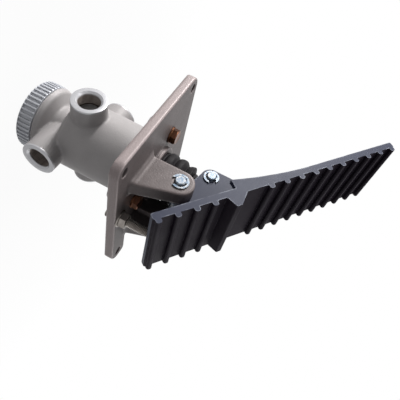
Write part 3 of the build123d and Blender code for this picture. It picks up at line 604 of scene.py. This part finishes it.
def turned_shape(outline, segments, closed=True, moved=None):
    """Turn an outline of (radius, height) points about Z. moved changes a point by its angle."""
    shape = bmesh.new()
    rows = []
    for index, (radius, height) in enumerate(outline):
        row = []
        for step in range(segments):
            angle = 2 * pi * step / segments
            here = moved(index, angle, radius, height) if moved else (radius, height)
            row.append(shape.verts.new((here[0] * cos(angle), here[0] * sin(angle), here[1])))
        rows.append(row)
    followers = rows[1:] + rows[:1] if closed else rows[1:]
    for low, high in zip(rows, followers):
        for step in range(segments):
            after = (step + 1) % segments
            shape.faces.new((low[step], low[after], high[after], high[step]))
    bmesh.ops.remove_doubles(shape, verts=shape.verts[:], dist=1e-7)
    bmesh.ops.recalc_face_normals(shape, faces=shape.faces[:])
    return shape


def hexagon_r(angle, flats):
    """Radius of a hexagon at an angle."""
    off = (angle + pi / 6) % (pi / 3) - pi / 6
    return flats / 2 / cos(off)


def thread_share(turns):
    """Height of a thread between its root and crest, from 0 to 1, at a place counted in pitches."""
    ramp = 1 - abs(2 * (turns % 1.0) - 1)
    return min(1.0, max(0.0, (ramp - 0.12) / 0.76))


def evenly(first, last, count):
    """Numbers from first to last, both included."""
    return [first + (last - first) * i / (count - 1) for i in range(count)]


def smooth_line(points, steps):
    """Curve through points, with a few steps between each two."""
    ends = [points[0]] + list(points) + [points[-1]]
    line = []
    for i in range(1, len(ends) - 2):
        before, start, finish, after = (Vector(ends[j]) for j in (i - 1, i, i + 1, i + 2))
        for step in range(steps):
            t = step / steps
            line.append(tuple(0.5 * (
                2 * start + (finish - before) * t + (2 * before - 5 * start + 4 * finish - after) * t ** 2
                + (3 * start - before - 3 * finish + after) * t ** 3)))
    line.append(tuple(points[-1]))
    return line


# Geometry Nodes for what repeats

def geometry_tree(name, inputs):
    """Start a Geometry Nodes tree with named inputs."""
    tree = bpy.data.node_groups.new(name, "GeometryNodeTree")
    tree.interface.new_socket("Geometry", in_out="INPUT", socket_type="NodeSocketGeometry")
    for socket, kind, default in inputs:
        made = tree.interface.new_socket(socket, in_out="INPUT", socket_type=kind)
        if default is not None:
            made.default_value = default
    tree.interface.new_socket("Geometry", in_out="OUTPUT", socket_type="NodeSocketGeometry")
    return tree, tree.nodes.new("NodeGroupInput"), tree.nodes.new("NodeGroupOutput")


def end_tree(tree, given, result, geometry):
    """End a tree in Realize Instances and Set Material."""
    real = place(tree, "GeometryNodeRealizeInstances", {0: geometry})
    coloured = place(tree, "GeometryNodeSetMaterial", {
        "Geometry": real.outputs[0], "Material": given.outputs["Material"]})
    tree.links.new(coloured.outputs[0], result.inputs[0])
    return tree


def copies_tree():
    """Copies of one shape on points, each turned so that its Z follows the point's outward attribute."""
    tree, given, result = geometry_tree("copies_on_points", [
        ("Shape", "NodeSocketObject", None), ("Material", "NodeSocketMaterial", None)])
    shape = place(tree, "GeometryNodeObjectInfo", {"Object": given.outputs["Shape"]})
    outward = place(tree, "GeometryNodeInputNamedAttribute", {"Name": "outward"}, data_type="FLOAT_VECTOR")
    turn = place(tree, "FunctionNodeAlignRotationToVector", {"Vector": outward.outputs[0]}, axis="Z")
    points = place(tree, "GeometryNodeMeshToPoints", {0: given.outputs["Geometry"]})
    copies = place(tree, "GeometryNodeInstanceOnPoints", {
        "Points": points.outputs[0], "Instance": shape.outputs["Geometry"], "Rotation": turn.outputs[0]})
    return end_tree(tree, given, result, copies.outputs[0])


def ribs_tree():
    """Ribs round a turned cap: the wall moves in between the ribs, and runs out at both rims."""
    tree, given, result = geometry_tree("ribs_round_cap", [
        ("Rib Count", "NodeSocketInt", 60), ("Rib Depth", "NodeSocketFloat", 0.001),
        ("Rib Share", "NodeSocketFloat", 0.5), ("Wall Radius", "NodeSocketFloat", 0.03),
        ("Low", "NodeSocketFloat", 0.0), ("High", "NodeSocketFloat", 0.01),
        ("Material", "NodeSocketMaterial", None)])
    spot = place(tree, "ShaderNodeSeparateXYZ", {0: place(tree, "GeometryNodeInputPosition").outputs[0]})
    across = spot.outputs["X"]
    along = spot.outputs["Y"]
    height = spot.outputs["Z"]
    turn = math(tree, "DIVIDE", math(tree, "ARCTAN2", along, across), 2 * pi)
    phase = math(tree, "FRACT", math(tree, "MULTIPLY", turn, given.outputs["Rib Count"]))
    from_rib = math(tree, "ABSOLUTE", math(tree, "SUBTRACT", phase, 0.5))
    half = math(tree, "MULTIPLY", given.outputs["Rib Share"], 0.5)
    past_rib = math(tree, "DIVIDE", math(tree, "SUBTRACT", from_rib, half), 0.14)
    groove = place(tree, "ShaderNodeMapRange", {
        "Value": past_rib, "From Min": -0.5, "From Max": 0.5}, interpolation_type="SMOOTHSTEP").outputs[0]
    radius = math(tree, "SQRT", math(
        tree, "ADD", math(tree, "MULTIPLY", across, across), math(tree, "MULTIPLY", along, along)))
    on_wall = math(tree, "GREATER_THAN", radius, math(tree, "SUBTRACT", given.outputs["Wall Radius"], 0.0002))
    inside = math(tree, "MULTIPLY", math(tree, "GREATER_THAN", height, given.outputs["Low"]),
                  math(tree, "LESS_THAN", height, given.outputs["High"]))
    depth = math(tree, "MULTIPLY", math(tree, "MULTIPLY", groove, given.outputs["Rib Depth"]),
                 math(tree, "MULTIPLY", on_wall, inside))
    inward = math(tree, "DIVIDE", depth, math(tree, "MULTIPLY", radius, -1.0))
    offset = place(tree, "ShaderNodeCombineXYZ", {
        "X": math(tree, "MULTIPLY", across, inward), "Y": math(tree, "MULTIPLY", along, inward)})
    ribbed = place(tree, "GeometryNodeSetPosition", {
        "Geometry": given.outputs["Geometry"], "Offset": offset.outputs[0]})
    return end_tree(tree, given, result, ribbed.outputs[0])


def coil_tree():
    """Coil spring: a wire along a spiral."""
    tree, given, result = geometry_tree("coil_spring", [
        ("Turns", "NodeSocketFloat", 4.0), ("Radius", "NodeSocketFloat", 0.01), ("Wire", "NodeSocketFloat", 0.001),
        ("Low", "NodeSocketFloat", 0.0), ("Height", "NodeSocketFloat", 0.02),
        ("Material", "NodeSocketMaterial", None)])
    spiral = place(tree, "GeometryNodeCurveSpiral", {
        "Resolution": 40, "Rotations": given.outputs["Turns"], "Start Radius": given.outputs["Radius"],
        "End Radius": given.outputs["Radius"], "Height": given.outputs["Height"]})
    wire = place(tree, "GeometryNodeCurvePrimitiveCircle", {
        "Resolution": 14, "Radius": given.outputs["Wire"]}, mode="RADIUS")
    tube = place(tree, "GeometryNodeCurveToMesh", {
        "Curve": spiral.outputs[0], "Profile Curve": wire.outputs[0], "Fill Caps": True})
    up = place(tree, "ShaderNodeCombineXYZ", {"Z": given.outputs["Low"]})
    moved = place(tree, "GeometryNodeTransform", {"Geometry": tube.outputs[0], "Translation": up.outputs[0]})
    return end_tree(tree, given, result, moved.outputs[0])


def run_tree(piece, tree_name, make, **values):
    """Run a Geometry Nodes tree on a piece and keep its result as a plain mesh."""
    tree = bpy.data.node_groups.get(tree_name) or make()
    modifier = piece.modifiers.new(tree_name, "NODES")
    modifier.node_group = tree
    sockets = {item.name: item.identifier for item in tree.interface.items_tree
               if item.item_type == "SOCKET" and item.in_out == "INPUT"}
    for name, value in values.items():
        modifier[sockets[name.replace("_", " ")]] = value
    return settled(piece)


def copies(name, shape, material, places):
    """Copies of a shape at places, each a point and the direction of the copy's Z, as one piece."""
    source = new_piece(name + "_pattern", shape, [material])
    keep_turning(source)
    points = bmesh.new()
    for point, _ in places:
        points.verts.new(point)
    piece = new_piece(name, points, [material])
    outward = piece.data.attributes.new("outward", "FLOAT_VECTOR", "POINT")
    outward.data.foreach_set("vector", [value for _, direction in places for value in direction])
    run_tree(piece, "copies_on_points", copies_tree, Shape=source, Material=material)
    bpy.data.objects.remove(source)
    return piece


def keep_turning(piece):
    """Keep each point's radius and height as an attribute, for the marks of turning."""
    co = points_of(piece.data)
    kept = np.column_stack([np.hypot(co[:, 0], co[:, 1]), co[:, 2], np.zeros(len(co))])
    turned = piece.data.attributes.new("turned", "FLOAT_VECTOR", "POINT")
    turned.data.foreach_set("vector", kept.ravel())


# Operators, one for each group of like pieces

class BRAKE_OT_stage(bpy.types.Operator):
    """Make the camera, the pale floor, the lamps and the world"""

    bl_idname = "brake.stage"
    bl_label = "Stage"

    def execute(self, context):
        camera = bpy.data.objects.new("photo_camera", bpy.data.cameras.new("photo_camera"))
        camera.data.lens = CAMERA_LENS
        camera.data.clip_start = 0.01
        axes = Matrix((CAMERA_RIGHT, CAMERA_UP, CAMERA_BACK)).transposed()
        camera.matrix_world = Matrix.Translation(CAMERA_PLACE) @ axes.to_4x4()
        context.scene.collection.objects.link(camera)
        context.scene.camera = camera
        context.scene.view_settings.view_transform = "Standard"
        self.make_floor(context)
        self.make_lamps(context)
        self.make_world(context)
        return {"FINISHED"}

    def make_floor(self, context):
        """Plain pale floor under the cap, white to the camera with the object's shadow on it."""
        shape = bmesh.new()
        bmesh.ops.create_circle(shape, cap_ends=True, segments=96, radius=4.0)
        material, tree, shader = blank_material("pale_floor")
        shader.inputs["Base Color"].default_value = (0.50, 0.50, 0.50, 1.0)
        shader.inputs["Roughness"].default_value = 0.9
        shader.inputs["Specular IOR Level"].default_value = 0.1
        path = place(tree, "ShaderNodeLightPath")
        seen = math(tree, "MAXIMUM", path.outputs["Is Camera Ray"], path.outputs["Is Glossy Ray"])
        seen = math(tree, "MAXIMUM", seen, path.outputs["Is Transmission Ray"])
        where = place(tree, "ShaderNodeTexCoord").outputs["Object"]
        away = place(tree, "ShaderNodeVectorMath", {0: where}, operation="LENGTH").outputs["Value"]
        share = stretched(tree, away, 0.10, 0.45, 0.95, 1.0)
        glow = place(tree, "ShaderNodeEmission", {"Color": (1.0, 1.0, 1.0, 1.0), "Strength": 1.0})
        both = place(tree, "ShaderNodeMixShader", {
            0: math(tree, "MULTIPLY", seen, share), 1: shader.outputs[0], 2: glow.outputs[0]})
        underneath = place(tree, "ShaderNodeNewGeometry").outputs["Backfacing"]
        one_sided = place(tree, "ShaderNodeMixShader", {
            0: underneath, 1: both.outputs[0], 2: place(tree, "ShaderNodeBsdfTransparent").outputs[0]})
        tree.links.new(one_sided.outputs[0], tree.nodes["Material Output"].inputs["Surface"])
        bmesh.ops.translate(shape, vec=(0, 0, cad_corners[0][2] - 0.0005), verts=shape.verts[:])
        floor = new_piece("pale_floor", shape, [material])

    def make_lamps(self, context):
        """Large soft lamps: the key from the photograph's upper side, and weaker fills."""
        aim = Vector((0.02, 0.0, 0.0))
        for name, place_at, size, power, colour in (
                ("key_lamp", (1.10, 0.93, 0.05), (0.8, 0.24), 28.5, (1.0, 0.99, 0.98)),
                ("top_lamp", (0.45, 0.40, 1.15), (0.8, 0.8), 10.0, (1.0, 1.0, 1.0)),
                ("heel_lamp", (-1.20, 0.35, 0.35), (1.0, 1.0), 0.5, (0.93, 0.96, 1.0)),
                ("back_lamp", (-0.30, -1.20, 0.50), (1.0, 1.0), 4.0, (1.0, 1.0, 1.0))):
            lamp = bpy.data.lights.new(name, "AREA")
            lamp.shape = "RECTANGLE"
            lamp.size, lamp.size_y = size
            lamp.energy = power
            lamp.color = colour
            holder = bpy.data.objects.new(name, lamp)
            holder.location = place_at
            holder.rotation_euler = (aim - Vector(place_at)).to_track_quat("-Z", "Y").to_euler()
            context.scene.collection.objects.link(holder)

    def make_world(self, context):
        """Soft even light, with white to be seen behind the object and in its gloss."""
        world = bpy.data.worlds.new("studio")
        world.use_nodes = True
        tree = world.node_tree
        soft = tree.nodes["Background"]
        soft.inputs["Color"].default_value = (0.96, 0.98, 1.0, 1.0)
        soft.inputs["Strength"].default_value = 0.13
        white = place(tree, "ShaderNodeBackground", {"Color": (1.0, 1.0, 1.0, 1.0), "Strength": 1.0})
        path = place(tree, "ShaderNodeLightPath")
        seen = math(tree, "MAXIMUM", path.outputs["Is Camera Ray"], path.outputs["Is Glossy Ray"])
        seen = math(tree, "MAXIMUM", seen, path.outputs["Is Transmission Ray"])
        both = place(tree, "ShaderNodeMixShader", {0: seen, 1: soft.outputs[0], 2: white.outputs[0]})
        tree.links.new(both.outputs[0], tree.nodes["World Output"].inputs["Surface"])
        context.scene.world = world


class BRAKE_OT_castings(bpy.types.Operator):
    """Make the mounting plate and the valve body as castings with soft edges"""

    bl_idname = "brake.castings"
    bl_label = "Castings"

    def execute(self, context):
        sizes = context.scene.brake_valve_sizes
        skins = finishes(context)
        plate = cast_copy(
            "mounting_plate", "plate_casting", sizes.casting_step, sizes.casting_softness, [skins["plate_casting"]])
        for centre, radius in PLATE_HOLES:
            true_hole(plate, centre, radius, 0.0, PLATE_THICK)
        self.mark_rim(plate)
        dress(plate, "base", "plate_casting", "mounting_plate")
        body = cast_copy(
            "valve_body", "body_casting", sizes.casting_step, sizes.casting_softness, [skins["body_casting"]])
        self.seat_ports(body)
        dress(body, "base", "body_casting", "valve_body")
        return {"FINISHED"}

    def mark_rim(self, plate):
        """Mark the plate's outer edge, which is blasted paler than its faces."""
        co = points_of(plate.data)
        flat = (co[:, 2] > 0.0004) & (co[:, 2] < PLATE_THICK - 0.0004)
        edge = np.abs(co[:, :2]).max(axis=1) > PLATE_SIDE / 2 - 0.0012
        corner = np.hypot(np.abs(co[:, 0]) - PLATE_CORNER_AT, np.abs(co[:, 1]) - PLATE_CORNER_AT) > PLATE_CORNER_R - 0.0012
        in_corner = (np.abs(co[:, 0]) > PLATE_CORNER_AT) & (np.abs(co[:, 1]) > PLATE_CORNER_AT)
        rim = plate.data.attributes.new("rim", "FLOAT", "POINT")
        rim.data.foreach_set("value", (flat & (edge | (corner & in_corner))).astype(np.float32))

    def seat_ports(self, body):
        """Widen each port's bore and lower its face, so that the machined ring shows there."""
        mesh = body.data
        co = points_of(mesh)
        for direction, reach, height in PORTS:
            out = np.array(direction, float)
            centre = np.array((0.0, 0.0, height))
            along = (co - centre) @ out
            across = (co - centre) - np.outer(along, out)
            radius = np.linalg.norm(across, axis=1)
            near = (along > reach - PORT_DEPTH - 0.0006) & (radius < PORT_R + 0.002)
            bore = near & (radius > PORT_BORE_R - 0.0012) & (radius < PORT_BORE_R + 0.0022)
            wide = PORT_BORE_R + 0.0014
            co[bore] += across[bore] * (np.maximum(wide, radius[bore]) / radius[bore] - 1)[:, None]
            face = near & (along > reach - 0.0011)
            co[face] -= np.outer(along[face] - (reach - 0.0011), out)
        mesh.vertices.foreach_set("co", co.ravel())
        mesh.update()


class BRAKE_OT_ports(bpy.types.Operator):
    """Make the machined rings and threads of the four ports"""

    bl_idname = "brake.ports"
    bl_label = "Ports"

    def execute(self, context):
        sizes = context.scene.brake_valve_sizes
        pitch = sizes.port_thread_pitch
        depth = sizes.port_thread_depth
        start = -PORT_CHAMFER
        end = -PORT_DEPTH + 0.0012
        levels = evenly(start, end, int((start - end) / pitch * 10) + 1)
        outline = [
            (PORT_R - 0.0001, -0.0022), (PORT_R, -0.0016), (PORT_R, -0.0006), (PORT_R - 0.0002, -0.00015),
            (PORT_R - 0.0006, 0.0), (PORT_BORE_R + PORT_CHAMFER + 0.0001, 0.0),
            (PORT_BORE_R + PORT_CHAMFER, -0.0001)]
        smooth_rows = len(outline)
        outline += [(PORT_BORE_R, level) for level in levels]
        outline += [(PORT_BORE_R, -PORT_DEPTH), (PORT_BORE_R + 0.0018, -PORT_DEPTH), (PORT_BORE_R + 0.0018, -0.0022)]

        def threaded(index, angle, radius, height):
            if not smooth_rows <= index < smooth_rows + len(levels):
                return radius, height
            fade = min(1.0, (start - height) / pitch, (height - end) / pitch + 0.05)
            return radius + depth * max(0.0, fade) * thread_share(height / pitch + angle / (2 * pi)), height

        ring = turned_shape(outline, 72, moved=threaded)
        places = [((Vector(direction) * reach + Vector((0, 0, height))), direction)
                  for direction, reach, height in PORTS]
        finishes(context)
        rings = copies("port_rings", ring, bpy.data.materials["machined_skin"], places)
        smooth(rings, 30.0)
        dress(rings, "base", "body_casting")
        return {"FINISHED"}


class BRAKE_OT_cap(bpy.types.Operator):
    """Make the ribbed cap at the end of the body"""

    bl_idname = "brake.cap"
    bl_label = "Ribbed cap"

    def execute(self, context):
        sizes = context.scene.brake_valve_sizes
        skin = finishes(context)["cap_casting"]
        low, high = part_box("exhaust_cap")
        rib_r = high.x
        rear, front = low.z, high.z
        wall = evenly(rear + 0.0016, front - 0.0010, 12)
        outline = [
            (0.0, CAP_END_INSIDE), (CAP_LEDGE_R, CAP_END_INSIDE), (CAP_LEDGE_R, CAP_SPIGOT_FLOOR),
            (CAP_SPIGOT_R, CAP_SPIGOT_FLOOR), (CAP_SPIGOT_R, front), (rib_r - 0.0022, front),
            (rib_r - 0.0012, front - 0.0001), (rib_r - 0.0004, front - 0.0004)]
        outline += [(rib_r, level) for level in reversed(wall)]
        outline += [
            (rib_r - 0.0003, rear + 0.0009), (rib_r - 0.0009, rear + 0.0003), (rib_r - 0.0018, rear),
            (CAP_RECESS_R + 0.0006, rear), (CAP_RECESS_R + 0.0001, rear + 0.0003), (CAP_RECESS_R, rear + 0.0008),
            (CAP_RECESS_R, CAP_RECESS_FLOOR - 0.0004), (CAP_RECESS_R - 0.0004, CAP_RECESS_FLOOR),
            (0.0, CAP_RECESS_FLOOR)]
        cap = new_piece("ribbed_cap", turned_shape(outline, sizes.cap_rib_count * 12, closed=False), [skin])
        run_tree(
            cap, "ribs_round_cap", ribs_tree, Rib_Count=sizes.cap_rib_count, Rib_Depth=sizes.cap_rib_depth,
            Rib_Share=sizes.cap_rib_share, Wall_Radius=rib_r, Low=rear + 0.0012, High=front - 0.0006, Material=skin)
        holes = bmesh.new()
        spots = [(EXHAUST_HOLE_CIRCLE_R, 360 / EXHAUST_HOLE_COUNT * i, EXHAUST_HOLE_R)
                 for i in range(EXHAUST_HOLE_COUNT)]
        for away, turn, radius in spots + [(0.0, 0.0, FLAP_SCREW_HOLE_R)]:
            spot = Vector((away * cos(radians(turn)), away * sin(radians(turn)), CAP_RECESS_FLOOR + 0.0015))
            bmesh.ops.create_cone(
                holes, cap_ends=True, segments=32, radius1=radius, radius2=radius, depth=0.006,
                matrix=Matrix.Translation(spot))
        cutter = new_piece("cap_holes", holes, [skin])
        cut = cap.modifiers.new("holes", "BOOLEAN")
        cut.object = cutter
        cut.solver = "EXACT"
        settled(cap)
        bpy.data.objects.remove(cutter)
        smooth(cap, 32.0)
        dress(cap, "base", "cap_casting", "exhaust_cap")
        return {"FINISHED"}


class BRAKE_OT_body_bolts(bpy.types.Operator):
    """Make the three yellow bolts that hold the body, with threads and cornered heads"""

    bl_idname = "brake.body_bolts"
    bl_label = "Body bolts"

    def execute(self, context):
        skin = finishes(context)["yellow_zinc"]
        low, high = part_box("body_bolts")
        length = high.z - low.z
        under = length - BOLT_HEAD_HEIGHT
        chamfer_r = BOLT_HEAD_FLATS / 2 * 0.96
        pitch = 0.00125
        levels = evenly(0.0005, 0.012, 70)
        outline = [(0.0, 0.0), (BOLT_R - 0.0008, 0.0)] + [(BOLT_R, level) for level in levels]
        first_head = len(outline) + 1
        outline += [(BOLT_R, under), (1.0, under), (1.0, length - 0.0005), (1.0, length), (chamfer_r - 0.0004, length),
                    (chamfer_r * 0.8, length - 0.0002), (0.0, length - 0.0002)]

        def formed(index, angle, radius, height):
            if 2 <= index < 2 + len(levels):
                return radius - 0.0006 * thread_share(height / pitch + angle / (2 * pi)), height
            if index == first_head:
                return hexagon_r(angle, BOLT_HEAD_FLATS - 0.0003), height
            if index == first_head + 1:
                corner = hexagon_r(angle, BOLT_HEAD_FLATS)
                return corner, length - 0.0004 - (corner - chamfer_r) * tan(radians(30))
            if index == first_head + 2:
                return chamfer_r, length - 0.0001
            return radius, height

        bolt = turned_shape(outline, 72, closed=False, moved=formed)
        places = [((BOLT_CIRCLE_R * cos(radians(turn)), BOLT_CIRCLE_R * sin(radians(turn)), low.z), (0, 0, 1))
                  for turn in BOLT_ANGLES]
        bolts = copies("hex_bolts", bolt, skin, places)
        smooth(bolts, 25.0)
        dress(bolts, "base", "yellow_zinc", "body_bolts")
        return {"FINISHED"}


class BRAKE_OT_stop_screw(bpy.types.Operator):
    """Make the threaded stop screw under the heel"""

    bl_idname = "brake.stop_screw"
    bl_label = "Stop screw"

    def execute(self, context):
        sizes = context.scene.brake_valve_sizes
        finishes(context)
        skin = bpy.data.materials["dull_zinc_skin"]
        low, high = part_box("stop_screw")
        pitch = sizes.stop_thread_pitch
        top = high.z - STOP_SCREW_R
        levels = evenly(low.z + 0.0005, top, int((top - low.z) / pitch * 10))
        socket_top = low.z + STOP_SOCKET_DEPTH
        outline = [(0.0, socket_top), (1.0, socket_top), (1.0, low.z), (STOP_SCREW_R - 0.0006, low.z)]
        plain = len(outline)
        outline += [(STOP_SCREW_R, level) for level in levels]
        for turn in evenly(0.0, 90.0, 12):
            outline.append((STOP_SCREW_R * cos(radians(turn)), top + 0.0002 + STOP_SCREW_R * sin(radians(turn)) * 0.95))

        def threaded(index, angle, radius, height):
            if index in (1, 2):
                return hexagon_r(angle, STOP_SOCKET_FLATS), height
            if plain <= index < plain + len(levels):
                fade = min(1.0, max(0.0, (top - height) / pitch))
                share = thread_share(height / pitch + angle / (2 * pi))
                return radius - sizes.stop_thread_depth * fade * share, height
            return radius, height

        shape = turned_shape(outline, 48, closed=False, moved=threaded)
        bmesh.ops.translate(shape, vec=(STOP_SCREW_X, 0, 0), verts=shape.verts[:])
        screw = smooth(new_piece("threaded_stop_screw", shape, [skin]), 30.0)
        dress(screw, "base", "bright_zinc", "stop_screw")
        return {"FINISHED"}


class BRAKE_OT_pedal(bpy.types.Operator):
    """Make the pedal with rounded edges and slate paint, the paint darkened on the tread faces as painted shade"""

    bl_idname = "brake.pedal"
    bl_label = "Pedal"

    def execute(self, context):
        sizes = context.scene.brake_valve_sizes
        skins = finishes(context)
        pedal = softened(
            "pedal", "ribbed_pedal", sizes.paint_edge, [skins["pedal_paint"], bpy.data.materials["tread_skin"]],
            segments=3)
        # Faces of the tread that turn from the pedal's sides take the darker finish: painted shade.
        out = Vector((-sin(TREAD_ANGLE), 0.0, cos(TREAD_ANGLE)))
        for face in pedal.data.polygons:
            facing = face.normal
            on_top = face.center.dot(out) > TREAD_UNDER + 0.0045
            if on_top and abs(facing.y) < 0.5 and facing.dot(out) > -0.2:
                face.material_index = 1
        dress(pedal, "pedal", "pedal_paint", "pedal")
        return {"FINISHED"}


class BRAKE_OT_small_parts(bpy.types.Operator):
    """Make the pins, clips, roller, nut and washers with rounded edges"""

    bl_idname = "brake.small_parts"
    bl_label = "Pins, clips and washers"

    def execute(self, context):
        edge = context.scene.brake_valve_sizes.plated_edge
        skins = finishes(context)
        for node, name, body, slot in (
                ("pivot_pin", "pivot_cross_pin", "base", "bright_zinc"),
                ("pivot_clips", "pivot_open_clips", "base", "bright_zinc"),
                ("roller_pin", "roller_cross_pin", "pedal", "bright_zinc"),
                ("roller_clips", "roller_open_clips", "pedal", "bright_zinc"),
                ("roller", "plunger_roller", "roller", "bright_zinc"),
                ("stop_lock_nut", "lock_nut", "base", "bright_zinc"),
                ("stop_lock_washer", "lock_washer", "base", "bright_zinc"),
                ("body_bolt_washers", "bolt_washers", "base", "yellow_zinc")):
            skin = bpy.data.materials["dull_zinc_skin"] if node.startswith("stop") else skins[slot]
            dress(softened(node, name, edge, [skin]), body, slot, node)
        return {"FINISHED"}


class BRAKE_OT_boot(bpy.types.Operator):
    """Make the rubber bellows between the plate's collar and the plunger"""

    bl_idname = "brake.boot"
    bl_label = "Bellows"

    def execute(self, context):
        wall = context.scene.brake_valve_sizes.boot_wall
        skin = finishes(context)["black_rubber"]
        low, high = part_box("plunger_boot")
        base, top = low.z, high.z
        span = top - base
        bead = 0.0034
        folds = [(radius, base + span * share) for radius, share in BOOT_FOLDS]
        outside = smooth_line(
            [(BOOT_BASE_R - 0.0012, base + bead * 0.9)] + folds + [(BOOT_TOP_R, top - bead * 0.75)], 12)
        inside = [(radius - wall, height) for radius, height in smooth_line(
            [(BOOT_COLLAR_R + wall, base + bead)] + folds + [(BOOT_NECK_R + wall, top - bead)], 12)]
        outline = [(BOOT_COLLAR_R, base), (BOOT_BASE_R - 0.0004, base), (BOOT_BASE_R, base + 0.0006),
                   (BOOT_BASE_R, base + bead * 0.6), (BOOT_BASE_R - 0.0006, base + bead * 0.82)]
        outline += outside
        outline += [(BOOT_TOP_R + 0.0004, top - bead * 0.6), (BOOT_TOP_R + 0.0004, top - 0.0005),
                    (BOOT_TOP_R, top), (BOOT_NECK_R, top)]
        outline += [(max(radius, BOOT_NECK_R), height) for radius, height in reversed(inside)]
        boot = smooth(new_piece("rubber_bellows", turned_shape(outline, 96), [skin]), 50.0)
        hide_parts("plunger_boot")
        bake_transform(boot)
        return {"FINISHED"}


class BRAKE_OT_springs(bpy.types.Operator):
    """Make the coil springs inside the body"""

    bl_idname = "brake.springs"
    bl_label = "Springs"

    def execute(self, context):
        skin = finishes(context)["spring_steel"]
        for node, name, turns, wire, body, start_z, end_z in (
                ("graduating_spring", "graduating_coil", 4.0, 0.0015, "plunger", -0.0487, -0.0081),
                ("primary_return_spring", "piston_return_coil", 3.0, 0.0008, "primary_piston", -0.0480, -0.0360),
                ("primary_valve_spring", "primary_valve_coil", 2.0, 0.0007, "primary_valve", -0.0644, -0.0577),
                ("secondary_valve_spring", "secondary_valve_coil", 2.0, 0.0007, "secondary_valve",
                 -0.0944, -0.0877)):
            low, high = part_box(node)
            coil = run_tree(
                new_piece(name, bmesh.new(), [skin]), "coil_spring", coil_tree, Turns=turns,
                Radius=high.x - wire, Wire=wire, Low=low.z + wire, Height=high.z - low.z - 2 * wire, Material=skin)
            smooth(coil, 50.0)
            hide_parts(node)
            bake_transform(coil)
        return {"FINISHED"}


class BRAKE_OT_plain_parts(bpy.types.Operator):
    """Give each CAD part that stays its finish"""

    bl_idname = "brake.plain_parts"
    bl_label = "Parts that stay"

    def execute(self, context):
        skins = finishes(context)
        for name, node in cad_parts.items():
            for slot in node.material_slots:
                given = slot.material.name.split(".")[0]
                if given not in skins:
                    raise RuntimeError(f"{name} has no finish for {given}")
                slot.link = "OBJECT"
                slot.material = skins[given]
        return {"FINISHED"}


class BRAKE_PT_panel(bpy.types.Panel):
    """Sizes, colours and steps of the brake valve"""

    bl_idname = "BRAKE_PT_panel"
    bl_label = "Brake valve"
    bl_space_type = "VIEW_3D"
    bl_region_type = "UI"
    bl_category = "Brake valve"

    def draw(self, context):
        for group in (context.scene.brake_valve_sizes, context.scene.brake_valve_finishes):
            box = self.layout.box()
            for name in group.bl_rna.properties.keys():
                if name not in ("rna_type", "name"):
                    box.prop(group, name)
        for operator in OPERATORS:
            self.layout.operator(operator.bl_idname)


OPERATORS = (
    BRAKE_OT_stage, BRAKE_OT_castings, BRAKE_OT_ports, BRAKE_OT_cap, BRAKE_OT_body_bolts, BRAKE_OT_stop_screw,
    BRAKE_OT_pedal, BRAKE_OT_small_parts, BRAKE_OT_boot, BRAKE_OT_springs, BRAKE_OT_plain_parts)
CLASSES = (BrakeValveSizes, BrakeValveFinishes) + OPERATORS + (BRAKE_PT_panel,)


def register():
    for item in CLASSES:
        bpy.utils.register_class(item)
    bpy.types.Scene.brake_valve_sizes = bpy.props.PointerProperty(type=BrakeValveSizes)
    bpy.types.Scene.brake_valve_finishes = bpy.props.PointerProperty(type=BrakeValveFinishes)


def unregister():
    del bpy.types.Scene.brake_valve_finishes
    del bpy.types.Scene.brake_valve_sizes
    for item in reversed(CLASSES):
        bpy.utils.unregister_class(item)


def main():
    """Run every step in order."""
    register()
    bpy.ops.brake.stage()
    bpy.ops.brake.plain_parts()
    bpy.ops.brake.castings()
    bpy.ops.brake.ports()
    bpy.ops.brake.cap()
    bpy.ops.brake.body_bolts()
    bpy.ops.brake.stop_screw()
    bpy.ops.brake.pedal()
    bpy.ops.brake.small_parts()
    bpy.ops.brake.boot()
    bpy.ops.brake.springs()


if __name__ == "__main__":
    main()
